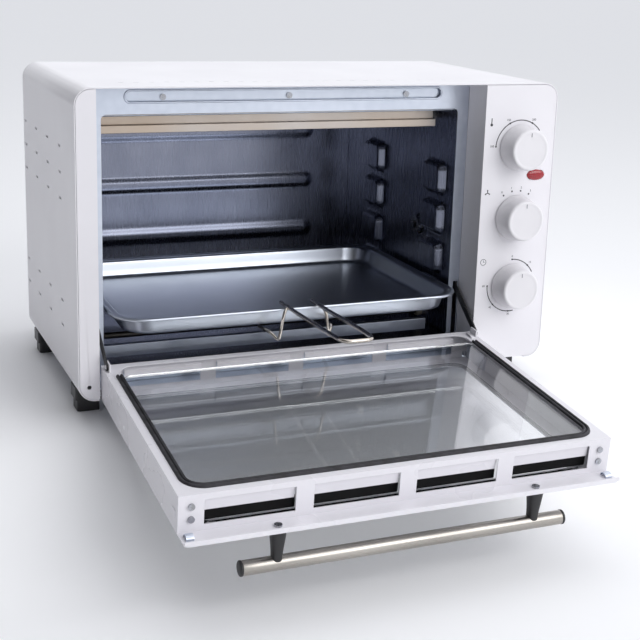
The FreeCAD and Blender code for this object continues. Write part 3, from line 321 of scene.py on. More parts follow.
@dataclass(frozen=True)
class BrushedTube(Finish):
    """Stainless tube brushed lengthwise on a belt: fine lines that run along the bar."""

    grit: float = 0.9
    grit_depth: float = 0.000001
    stain: float = 12.0
    stain_share: float = 0.3
    sheen: Pair = (-0.04, 0.08)
    dark: str = "#5E5A55"

    def pattern(self, tree: bpy.types.NodeTree, shader: bpy.types.Node) -> None:
        """Belt lines of 0.2 mm are drawn 0.9 mm apart round the bar, so that they show.

        Args:
            tree: The material's nodes.
            shader: The surface's shader.
        """
        where = add(tree, "TexCoord").outputs["Object"]
        laid = add(tree, "Mapping", {"Vector": where, "Scale": Grain.ALONG_X.value})
        hair = add(tree, "TexNoise", {"Vector": laid.outputs[0], "Scale": 1000 / self.grit,
                                      "Detail": 2.0})
        long = add(tree, "TexNoise", {"Vector": where, "Scale": self.stain, "Detail": 1.0})
        share = self.spread(tree, long.outputs[0], 0.0, self.stain_share)
        self.tint(tree, shader, share, self.dark)
        rough = self.spread(tree, hair.outputs[0], self.roughness + self.sheen[0],
                            self.roughness + self.sheen[1])
        tree.links.new(rough, shader.inputs["Roughness"])
        self.relief(tree, shader, hair.outputs[0], self.grit_depth)


@dataclass(frozen=True)
class MouldedPlastic(Finish):
    """Injection-moulded plastic with a fine spark-eroded grain from its mould."""

    grain_size: float = 0.8
    grain_depth: float = 0.00002
    cloud: float = 40.0
    worn_share: float = 0.4
    sheen: Pair = (-0.05, 0.06)
    worn: str = "#2A2A2C"

    def pattern(self, tree: bpy.types.NodeTree, shader: bpy.types.Node) -> None:
        """Mould grain of 0.2 mm is drawn 0.8 mm wide, so that it breaks up the highlights.

        Args:
            tree: The material's nodes.
            shader: The surface's shader.
        """
        where = add(tree, "TexCoord").outputs["Object"]
        pits = add(tree, "TexNoise", {"Vector": where, "Scale": 1000 / self.grain_size,
                                      "Detail": 2.0})
        cloud = add(tree, "TexNoise", {"Vector": where, "Scale": self.cloud, "Detail": 2.0})
        self.relief(tree, shader, pits.outputs[0], self.grain_depth)
        share = self.spread(tree, cloud.outputs[0], 0.0, self.worn_share)
        self.tint(tree, shader, share, self.worn)
        rough = self.spread(tree, cloud.outputs[0], self.roughness + self.sheen[0],
                            self.roughness + self.sheen[1])
        tree.links.new(rough, shader.inputs["Roughness"])


@dataclass(frozen=True)
class BlazedMetal(Finish):
    """Bright metal that heat has tinted in slow bands of straw and bronze; on the chrome wire the same
    bands are painted bronze reflections.
    """

    straw: str = "#A98E6A"
    band: float = 24.0
    share: float = 0.6
    wipe: float = 300.0
    wipe_depth: float = 0.000002
    sheen: Pair = (0.85, 1.2)

    def pattern(self, tree: bpy.types.NodeTree, shader: bpy.types.Node) -> None:
        """Heat bands are about 40 mm wide, and the wipe marks across them about 3 mm.

        Args:
            tree: The material's nodes.
            shader: The surface's shader.
        """
        where = add(tree, "TexCoord").outputs["Object"]
        heat = add(tree, "TexNoise", {"Vector": where, "Scale": self.band, "Detail": 2.0})
        wipes = add(tree, "TexNoise", {"Vector": where, "Scale": self.wipe, "Detail": 1.0})
        self.tint(tree, shader, self.spread(tree, heat.outputs[0], 0.0, self.share), self.straw)
        rough = self.spread(tree, wipes.outputs[0], self.roughness * self.sheen[0],
                            self.roughness * self.sheen[1])
        tree.links.new(rough, shader.inputs["Roughness"])
        self.relief(tree, shader, wipes.outputs[0], self.wipe_depth)


@dataclass(frozen=True)
class FloatGlass(Finish):
    """Clear toughened float glass with a barely wavy face and a few faint wipe marks."""

    roller: float = 8.0
    roller_depth: float = 0.00005
    smear: float = 30.0
    smear_range: Pair = (0.45, 0.8)
    haze: float = 0.05

    def pattern(self, tree: bpy.types.NodeTree, shader: bpy.types.Node) -> None:
        """Roller waves from toughening are about 120 mm apart.

        Args:
            tree: The material's nodes.
            shader: The surface's shader.
        """
        shader.inputs["Transmission Weight"].default_value = 1.0
        where = add(tree, "TexCoord").outputs["Object"]
        wave = add(tree, "TexNoise", {"Vector": where, "Scale": self.roller, "Detail": 1.0})
        smear = add(tree, "TexNoise", {"Vector": where, "Scale": self.smear, "Detail": 4.0})
        self.relief(tree, shader, wave.outputs[0], self.roller_depth)
        rough = add(tree, "MapRange", {
            "Value": smear.outputs[0], 1: self.smear_range[0], 2: self.smear_range[1],
            3: self.roughness, 4: self.roughness + self.haze})
        tree.links.new(rough.outputs[0], shader.inputs["Roughness"])


@dataclass(frozen=True)
class LampLens(Finish):
    """Transparent red acrylic with fine flutes on its back that scatter the lamp's light."""

    clear: float = 0.35
    flute: float = 1.2
    flute_depth: float = 0.0002
    turn: float = 6.283
    shade: str = "#7A0F1B"

    def pattern(self, tree: bpy.types.NodeTree, shader: bpy.types.Node) -> None:
        """Flutes are 1.2 mm apart across the lens.

        Args:
            tree: The material's nodes.
            shader: The surface's shader.
        """
        shader.inputs["Transmission Weight"].default_value = self.clear
        where = add(tree, "TexCoord").outputs["Object"]
        flutes = add(tree, "TexWave", {
            "Vector": where, "Scale": 1000 / self.flute / self.turn, "Distortion": 0.4},
            bands_direction="X")
        self.relief(tree, shader, flutes.outputs[0], self.flute_depth, 0.6)
        self.tint(tree, shader, self.spread(tree, flutes.outputs[0], 0.0, 0.4), self.shade)


@dataclass(frozen=True)
class CuredRubber(Finish):
    """Black silicone rubber, extruded, with a fine tooth and a dusty bloom."""

    patch: float = 100.0
    patch_share: float = 0.7
    tooth: float = 1800.0
    tooth_depth: float = 0.00003
    dust: str = "#4A484E"

    def pattern(self, tree: bpy.types.NodeTree, shader: bpy.types.Node) -> None:
        """The bloom comes in patches of about 10 mm, and the tooth is 0.5 mm across.

        Args:
            tree: The material's nodes.
            shader: The surface's shader.
        """
        where = add(tree, "TexCoord").outputs["Object"]
        bloom = add(tree, "TexNoise", {"Vector": where, "Scale": self.patch, "Detail": 5.0})
        fine = add(tree, "TexNoise", {"Vector": where, "Scale": self.tooth, "Detail": 2.0})
        share = self.spread(tree, bloom.outputs[0], 0.0, self.patch_share)
        self.tint(tree, shader, share, self.dust)
        rough = self.spread(tree, bloom.outputs[0], self.roughness, self.roughness + 0.2)
        tree.links.new(rough, shader.inputs["Roughness"])
        self.relief(tree, shader, fine.outputs[0], self.tooth_depth)


@dataclass(frozen=True)
class FiredCeramic(Finish):
    """Steatite pressed and fired: chalky, with fine pits and tan specks."""

    speck: float = 1600.0
    pit_depth: float = 0.00004
    tan: str = "#C9BBA2"

    def pattern(self, tree: bpy.types.NodeTree, shader: bpy.types.Node) -> None:
        """Specks are 0.6 mm across.

        Args:
            tree: The material's nodes.
            shader: The surface's shader.
        """
        where = add(tree, "TexCoord").outputs["Object"]
        specks = add(tree, "TexVoronoi", {"Vector": where, "Scale": self.speck})
        self.tint(tree, shader, specks.outputs["Distance"], self.tan)
        self.relief(tree, shader, specks.outputs["Distance"], self.pit_depth)


@dataclass(frozen=True)
class ScreenInk(Finish):
    """Grey ink screened on the enamel, a little uneven where the squeegee lifted."""

    mottle: float = 1000.0
    mottle_share: float = 0.5
    thin: str = "#4A4950"

    def pattern(self, tree: bpy.types.NodeTree, shader: bpy.types.Node) -> None:
        """The ink's mottle is 1 mm across.

        Args:
            tree: The material's nodes.
            shader: The surface's shader.
        """
        where = add(tree, "TexCoord").outputs["Object"]
        mottle = add(tree, "TexNoise", {"Vector": where, "Scale": self.mottle, "Detail": 2.0})
        share = self.spread(tree, mottle.outputs[0], 0.0, self.mottle_share)
        self.tint(tree, shader, share, self.thin)


@dataclass(frozen=True)
class StudioPaper(Finish):
    """The seamless white paper that the oven stands on."""

    tooth: float = 650.0
    tooth_depth: float = 0.00003

    def pattern(self, tree: bpy.types.NodeTree, shader: bpy.types.Node) -> None:
        """Paper tooth of 1.5 mm.

        Args:
            tree: The material's nodes.
            shader: The surface's shader.
        """
        where = add(tree, "TexCoord").outputs["Object"]
        tooth = add(tree, "TexNoise", {"Vector": where, "Scale": self.tooth, "Detail": 2.0})
        self.relief(tree, shader, tooth.outputs[0], self.tooth_depth, 0.4)


FINISHES: dict[str, Finish] = {
    # polyester powder, stoved: a soft, even white with a blurred gloss
    "white_enamel": StovedEnamel("white polyester powder coat on steel", "#E7E5E9", 0.34, ior=1.5),
    # the same powder on the door, which is wiped most: a little brighter and glossier
    "door_enamel": StovedEnamel("white powder coat on the door sheet", "#EAE8ED", 0.28, ior=1.5,
                                soot="#DEDCE1"),
    # a satin grade on the panel: duller, so that the print reads on it
    "panel_enamel": StovedEnamel("satin white powder coat on the panel", "#E9E7EB", 0.40, ior=1.5,
                                 soot="#E2E0E4"),
    # zinc coated sheet, cold rolled: a cool pale grey with slow cloudy patches
    "galvanised_steel": RolledSheet("galvanised sheet steel, cold rolled", "#D3D9E4", 0.33, 1.0,
                                    cloudy="#B9C1CE"),
    # aluminised sheet with its roll lines upright: a dark blue-grey with tall soft streaks
    "liner_steel": RolledSheet("aluminised liner steel, pressed", "#8B8F9E", 0.27, 1.0,
                               grain=Grain.ALONG_Z, cloudy="#6C7182", cloud_share=0.5,
                               spangle=32.0, streak=0.008, depth=0.0),
    # a zinc coated strip beside the heater: its heat has turned the grey to a warm beige
    "guard_steel": BlazedMetal("galvanised guard strip, heat tinted", "#C3BDB8", 0.33, 1.0,
                               straw="#B29C84", band=9.0, wipe_depth=0.0),
    # deep drawn sheet with a tin-grey coat: smooth, pale, with soft broad highlights
    "tray_steel": RolledSheet("tin-grey coated tray steel, deep drawn", "#C8CDD6", 0.30, 1.0,
                              cloudy="#B7BECA", spangle=40.0, streak=0.008, depth=0.0),
    # bright drawn wire with a chromium plate: sharp glints, and patches of straw painted in as bronze
    # reflections
    "chrome_wire": BlazedMetal("chromium plated wire, bright drawn", "#D9D6D2", 0.10, 1.0,
                               straw="#B59C7C", share=0.5),
    # the heaters' sheath, oxidised by use: a dull brown-grey
    "heater_steel": BlazedMetal("heater sheath, oxidised nickel steel", "#6A6660", 0.45, 1.0,
                                straw="#4A4038"),
    # pressed and fired steatite: a chalky cream without gloss
    "ceramic": FiredCeramic("fired steatite ceramic", "#E9E3D6", 0.7, ior=1.6),
    # spark-eroded mould: a black that breaks its highlights up
    "black_plastic": MouldedPlastic("black polyamide, injection moulded", "#1D1C1E", 0.42,
                                    ior=1.53),
    # thin paint stoved on the stays' flat bars: a black with a dim gloss
    "black_metal": StovedEnamel("black stoved paint on flat steel", "#1B1B1E", 0.45,
                                soot="#2B2B30"),
    # a fine mould: a smooth white with a rounder highlight than the powder's
    "white_plastic": MouldedPlastic("white ABS, injection moulded", "#E6E4E7", 0.33, ior=1.54,
                                    worn="#DEDCE0", grain_depth=0.000006),
    # a fluted lens with a polished face: a deep red under a small sharp gloss
    "red_lens": LampLens("red transparent acrylic, fluted", "#C01526", 0.08, ior=1.49, coat=0.6),
    # float glass: clear, with sharp reflections that bend a little
    "glass": FloatGlass("toughened soda-lime float glass", "#FBFCFD", 0.0, ior=1.52),
    # extruded silicone: a matt black with a grey dusty bloom
    "seal_rubber": CuredRubber("black silicone rubber, extruded", "#151517", 0.5, ior=1.43),
    # belt brushed tube: a long highlight that frays across the bar
    "bar_steel": BrushedTube("stainless tube, belt brushed", "#B9B4AD", 0.28, 1.0),
    # cold headed and zinc plated: a small bluish glint on each head
    "screw_steel": BlazedMetal("zinc plated screw steel, cold headed", "#B9BCC4", 0.25, 1.0,
                               straw="#8F8C86", band=300.0),
    # turned rod: a warm yellow shine
    "brass_metal": BlazedMetal("turned brass rod", "#C7A55C", 0.25, 1.0, straw="#9C7B3C"),
    # oil tempered wire: a brown-grey with a soft shine
    "spring_steel": BlazedMetal("spring steel wire, oil tempered", "#77736E", 0.35, 1.0),
    # screened ink: flat, nearly black, thinner at places
    "ink": ScreenInk("black screen ink", "#2F2E33", 0.5, ior=1.48),
    # pad-printed ink: a grey that just shows on the white knob
    "faint_ink": ScreenInk("grey pad-printed ink", "#A9A8AE", 0.5, ior=1.48),
    # foamed plastic: a black that swallows the light behind the openings
    # painted shade: a near-black card that stands in for the shade inside the door's slots
    "shadow": MouldedPlastic("black card painted in as shade behind the openings", "#0C0C0D", 0.9, ior=1.4,
                             worn="#121214"),
    # uncoated paper: a matt white that takes soft shadows
    "paper": StudioPaper("seamless white studio paper", "#FAFAFB", 0.85, ior=1.45),
}


class Paint:
    """Makes each finish once and hands it out by name."""

    def __init__(self) -> None:
        """Start with no finish made."""
        self.made: dict[str, bpy.types.Material] = {}

    def of(self, name: str) -> bpy.types.Material:
        """Give out the material of one finish, made the first time it is asked for.

        Args:
            name: The finish's name.

        Returns:
            Its material.
        """
        if name not in self.made:
            self.made[name] = FINISHES[name].build()
        return self.made[name]


# ---------------------------------------------------------------- mesh making
class Workshop:
    """Makes meshes, gives them a finish and seats them on their bodies."""

    def __init__(self, paint: Paint) -> None:
        """Keep the paint and start with no pieces."""
        self.paint = paint
        self.count = 0

    def finish(self, piece: bpy.types.Object, finish: str, body: Body,
               replaces: Sequence[str] = (), slot: str | None = None) -> bpy.types.Object:
        """Give a piece its finish and seat it on its body.

        Args:
            piece: The new piece, in the row frame.
            finish: The finish's name.
            body: The body that it rides on.
            replaces: The frame's own nodes that it stands for.
            slot: A slot name other than the finish's own; not used.

        Returns:
            The same piece.
        """
        piece.data.materials.clear()
        piece.data.materials.append(self.paint.of(finish))
        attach(piece, body.value)
        if replaces:
            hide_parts(*replaces)
        self.count += 1
        log.info("%s rides on %s as %s", piece.name, body.value, finish)
        return piece

    def solid(self, name: str, mesh: bmesh.types.BMesh, smooth: float = CRISP) -> bpy.types.Object:
        """Turn a bmesh into an object with smooth faces and crisp edges.

        Args:
            name: The object's name.
            mesh: The bmesh, which is used up.
            smooth: Edges that turn by more degrees than this stay crisp.

        Returns:
            The new object.
        """
        bmesh.ops.remove_doubles(mesh, verts=mesh.verts, dist=SAME_POINT)
        bmesh.ops.recalc_face_normals(mesh, faces=mesh.faces)
        for face in mesh.faces:
            face.smooth = True
        for edge in mesh.edges:
            if len(edge.link_faces) == 2 and edge.calc_face_angle(0.0) > math.radians(smooth):
                edge.smooth = False
        data = bpy.data.meshes.new(name)
        mesh.to_mesh(data)
        mesh.free()
        return show(name, data)

    def skin(self, mesh: bmesh.types.BMesh, rings: Sequence[Sequence[Point]],
             caps: bool = False, loop: bool = False) -> None:
        """Join closed rings of points with faces.

        Args:
            mesh: The bmesh that gets the faces.
            rings: Rings with equal numbers of points.
            caps: Whether the first and last rings are filled.
            loop: Whether the last ring joins the first.
        """
        rows = [[mesh.verts.new(p) for p in ring] for ring in rings]
        count = len(rows[0])
        pairs = list(zip(rows, rows[1:])) + ([(rows[-1], rows[0])] if loop else [])
        for one, two in pairs:
            for i in range(count):
                j = (i + 1) % count
                mesh.faces.new((one[i], one[j], two[j], two[i]))
        if caps:
            mesh.faces.new(list(reversed(rows[0])))
            mesh.faces.new(rows[-1])

    def lathe(self, name: str, profile: Sequence[Pair],
              place: Callable[[float, float, float], Point],
              steps: int = 96) -> bpy.types.Object:
        """Turn a profile about an axis.

        Args:
            name: The object's name.
            profile: Radius and height pairs; the two ends lie on the axis or are capped.
            place: Turns across, up and along the axis into a point of the row frame.
            steps: How many steps go round.

        Returns:
            The new object.
        """
        mesh = bmesh.new()
        turns = [2 * math.pi * i / steps for i in range(steps)]
        rings = [[place(r * math.cos(t), r * math.sin(t), h) for t in turns] for r, h in profile]
        self.skin(mesh, rings, caps=True)
        return self.solid(name, mesh, 50.0)

    def wire(self, name: str, points: Sequence[Point], radius: float) -> bpy.types.Object:
        """Bend a round wire smoothly through some control points.

        Args:
            name: The object's name.
            points: The control points of the wire's middle line.
            radius: The wire's radius.

        Returns:
            The new object.
        """
        curve = bpy.data.curves.new(name + "_line", "CURVE")
        curve.dimensions = "3D"
        line = curve.splines.new("NURBS")
        line.points.add(len(points) - 1)
        for spot, p in zip(line.points, points):
            spot.co = (*p, 1.0)
        line.order_u = 3
        line.use_endpoint_u = True
        line.resolution_u = 8
        curve.bevel_depth = radius
        curve.bevel_resolution = 5
        curve.use_fill_caps = True
        data = mesh_of(name + "_line", curve)
        mesh = bmesh.new()
        mesh.from_mesh(data)
        bpy.data.meshes.remove(data)
        return self.solid(name, mesh, 60.0)

    def join(self, name: str, pieces: Sequence[bpy.types.Object]) -> bpy.types.Object:
        """Make one object of several and give it a name.

        Args:
            name: The new object's name.
            pieces: The objects, which are used up.

        Returns:
            The new object.
        """
        mesh = bmesh.new()
        for piece in pieces:
            mesh.from_mesh(piece.data)
            bpy.data.objects.remove(piece)
        data = bpy.data.meshes.new(name)
        mesh.to_mesh(data)
        mesh.free()
        return show(name, data)

    def thicken(self, piece: bpy.types.Object, thickness: float, offset: float) -> None:
        """Give a sheet its thickness and bake it into the mesh.

        Args:
            piece: The sheet.
            thickness: How thick it is.
            offset: Which side the thickness goes to: -1 and 1 for the two sides, 0 for both.
        """
        sheet = piece.modifiers.new("sheet", "SOLIDIFY")
        sheet.thickness = thickness
        sheet.offset = offset
        bpy.context.view_layer.update()
        graph = bpy.context.evaluated_depsgraph_get()
        baked = bpy.data.meshes.new_from_object(piece.evaluated_get(graph))
        piece.modifiers.clear()
        piece.data = baked

    def soften(self, node: str, width: float, segments: int = 2) -> None:
        """Round the sharp edges of one of the frame's own nodes, which stays where it is.

        Args:
            node: The node's name.
            width: The width of the rounding, in metres.
            segments: How many steps make the rounding.
        """
        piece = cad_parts[node]
        weld = piece.modifiers.new("seams", "WELD")
        weld.merge_threshold = SAME_SEAM
        bevel = piece.modifiers.new("edges", "BEVEL")
        bevel.width = width
        bevel.segments = segments
        bevel.limit_method = "ANGLE"
        bevel.angle_limit = math.radians(CRISP)
        bevel.harden_normals = True


def rounded_loop(x0: float, y0: float, x1: float, y1: float, radius: float, steps: int = 10,
                 side: int = 1) -> list[Pair]:
    """Points round a rectangle with rounded corners, anticlockwise from its lower right corner.

    Args:
        x0: The low side across.
        y0: The low side up.
        x1: The high side across.
        y1: The high side up.
        radius: The corners' radius.
        steps: How many steps each corner has.
        side: How many pieces each straight side has.

    Returns:
        The points, as pairs.
    """
    found: list[Pair] = []
    centres = ((x1 - radius, y0 + radius), (x1 - radius, y1 - radius),
               (x0 + radius, y1 - radius), (x0 + radius, y0 + radius))
    for number, (cx, cy) in enumerate(centres):
        for i in range(steps + 1):
            turn = math.radians(number * 90 - 90 + 90 * i / steps)
            found.append((cx + radius * math.cos(turn), cy + radius * math.sin(turn)))
        nx, ny = centres[(number + 1) % 4]
        start = math.radians(number * 90)
        ax, ay = cx + radius * math.cos(start), cy + radius * math.sin(start)
        bx, by = nx + radius * math.cos(start), ny + radius * math.sin(start)
        for i in range(1, side):
            found.append((ax + (bx - ax) * i / side, ay + (by - ay) * i / side))
    return found


def ease(value: float) -> float:
    """A smooth step from 0 to 1."""
    t = min(1.0, max(0.0, value))
    return t * t * (3 - 2 * t)


# ---------------------------------------------------------------- sub-assemblies
@dataclass
class Casing:
    """The wrapped shell with its pressed louvres, the rear cover and the feet."""

    shop: Workshop
    louvre_length: float = 11 * MM
    louvre_height: float = 2.4 * MM
    louvre_dip: float = 1.7 * MM
    first_column: float = 64 * MM
    column_step: float = 60 * MM
    columns: int = 4
    rows: tuple[float, ...] = (80, 105, 130, 205, 230, 255, 280)
    blade: float = 0.5 * MM
    bend_steps: int = 6
    length_steps: int = 8
    edge: float = 0.45 * MM
    foot_edge: float = 1.2 * MM
    cover_edge: float = 0.5 * MM

    def build(self) -> None:
        """Make the louvres' blades and dress the shell."""
        low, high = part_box("outer_shell")
        for label, face, way in (("left_louvres", low.x, 1), ("right_louvres", high.x, -1)):
            self.louvres(label, face, way, low.y)
        self.shop.soften("outer_shell", self.edge, 3)
        for foot in ("front_left_foot", "front_right_foot", "rear_left_foot", "rear_right_foot"):
            self.shop.soften(foot, self.foot_edge, 3)
        self.shop.soften("rear_cover", self.cover_edge)

    def louvres(self, label: str, face: float, way: int, front: float) -> None:
        """Make one side's blades, each bent in from the lower edge of its slot.

        Args:
            label: The piece's name.
            face: Where the shell's side is, across.
            way: 1 where inwards is +X, and -1 where it is -X.
            front: Where the shell's front edge is.
        """
        mesh = bmesh.new()
        for column in range(self.columns):
            start = front + self.first_column + self.column_step * column
            for row in self.rows:
                self.louvre(mesh, face, way, start, row * MM)
        piece = self.shop.solid(label, mesh)
        self.shop.finish(piece, "white_enamel", Body.CASING)

    def louvre(self, mesh: bmesh.types.BMesh, face: float, way: int, start: float,
               foot: float) -> None:
        """Bend one blade in, and let its two ends run out into the shell's side.

        Args:
            mesh: The bmesh that gets the blade.
            face: Where the shell's side is, across.
            way: 1 where inwards is +X, and -1 where it is -X.
            start: Its end nearest to the door.
            foot: The height of its lower edge.
        """
        end = start + self.louvre_length
        strips = []
        for i in range(self.bend_steps + 1):
            t = i / self.bend_steps
            sink = self.louvre_dip * math.sin(t * math.pi / 2)
            climb = 1 - math.cos(t * math.pi / 2) * 0.9
            up = foot + self.louvre_height * 0.92 * climb - 0.1 * MM
            ring = []
            for k in range(self.length_steps + 1):
                s = k / self.length_steps
                ends = ease(min(s, 1 - s) * 6)
                ring.append((face + way * (0.25 * MM + sink * ends), start + (end - start) * s, up))
            strips.append(ring)
        self.skin_both(mesh, strips, way)

    def skin_both(self, mesh: bmesh.types.BMesh, strips: list[list[Point]], way: int) -> None:
        """Join one blade's strips and give it a sheet's thickness inwards.

        Args:
            mesh: The bmesh that gets the blade.
            strips: The blade's outer face, as rows of points.
            way: 1 where inwards is +X, and -1 where it is -X.
        """
        inner = [[(x + way * self.blade, y, z) for x, y, z in ring] for ring in strips]
        rings = []
        for out, back in zip(strips, inner):
            rings.append(out + list(reversed(back)))
        self.shop.skin(mesh, rings, caps=True)


@dataclass
class Mouth:
    """The steel frame round the oven's mouth, with the guards and the column beside it."""

    shop: Workshop
    pressing: tuple[float, float, float, float] = (-195.2 * MM, 298.7 * MM, 133.6 * MM, 310.2 * MM)
    rim: float = 2.0 * MM
    rim_rise: float = 1.1 * MM
    rim_root: float = 0.4 * MM
    rim_steps: int = 8
    hem_top: float = 287.4 * MM
    hem_radius: float = 1.3 * MM
    hem_end: float = 40 * MM
    edges: tuple[tuple[str, float, int], ...] = (
        ("left_column", 0.5 * MM, 3), ("front_frame", 0.35 * MM, 2),
        ("upper_heater_guard", 0.6 * MM, 3), ("lower_heater_guard", 0.4 * MM, 2),
        ("crumb_tray", 0.4 * MM, 2))

    def build(self) -> None:
        """Round the sheet edges of the mouth, and make its hem and its pressing."""
        for node, width, segments in self.edges:
            self.shop.soften(node, width, segments)
        self.hem()
        self.emboss()

    def emboss(self) -> None:
        """Raise the rim of the long pressing in the frame's head."""
        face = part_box("front_frame")[0].y
        foot, head = self.pressing[1], self.pressing[3]
        loop = rounded_loop(*self.pressing, (head - foot) / 2 - 0.1 * MM, 12, 24)
        mesh = bmesh.new()
        rings = []
        count = len(loop)
        for i, (x, z) in enumerate(loop):
            ax, az = loop[i - 1]
            bx, bz = loop[(i + 1) % count]
            size = math.hypot(bx - ax, bz - az)
            nx, nz = (bz - az) / size, -(bx - ax) / size
            ring = []
            for k in range(self.rim_steps + 1):
                t = math.pi * k / self.rim_steps
                across = self.rim / 2 * math.cos(t)
                ring.append((x + nx * across, face - self.rim_rise * math.sin(t) + 0.05 * MM,
                             z + nz * across))
            root = face + self.rim_root
            ring.append((x - nx * self.rim / 2, root, z - nz * self.rim / 2))
            ring.append((x + nx * self.rim / 2, root, z + nz * self.rim / 2))
            rings.append(ring)
        self.shop.skin(mesh, rings, loop=True)
        piece = self.shop.solid("pressed_rim", mesh, 60.0)
        self.shop.finish(piece, "galvanised_steel", Body.CASING)

    def hem(self) -> None:
        """Fold the hem that doubles the opening's top edge."""
        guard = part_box("upper_heater_guard")
        x0, x1 = guard[0].x + 4 * MM, guard[1].x + 12 * MM
        mesh = bmesh.new()
        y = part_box("front_frame")[1].y - 0.2 * MM
        r = self.hem_radius
        section = []
        for i in range(9):
            t = i / 8 * math.pi
            section.append((y + r - r * math.cos(t), self.hem_top - 0.5 * MM - r * math.sin(t)))
        rings = [[(x, a, b) for a, b in section]
                 for x in (x0, x0 + self.hem_end, x1 - self.hem_end, x1)]
        self.shop.skin(mesh, rings, caps=True)
        piece = self.shop.solid("mouth_hem", mesh)
        self.shop.finish(piece, "galvanised_steel", Body.CASING)


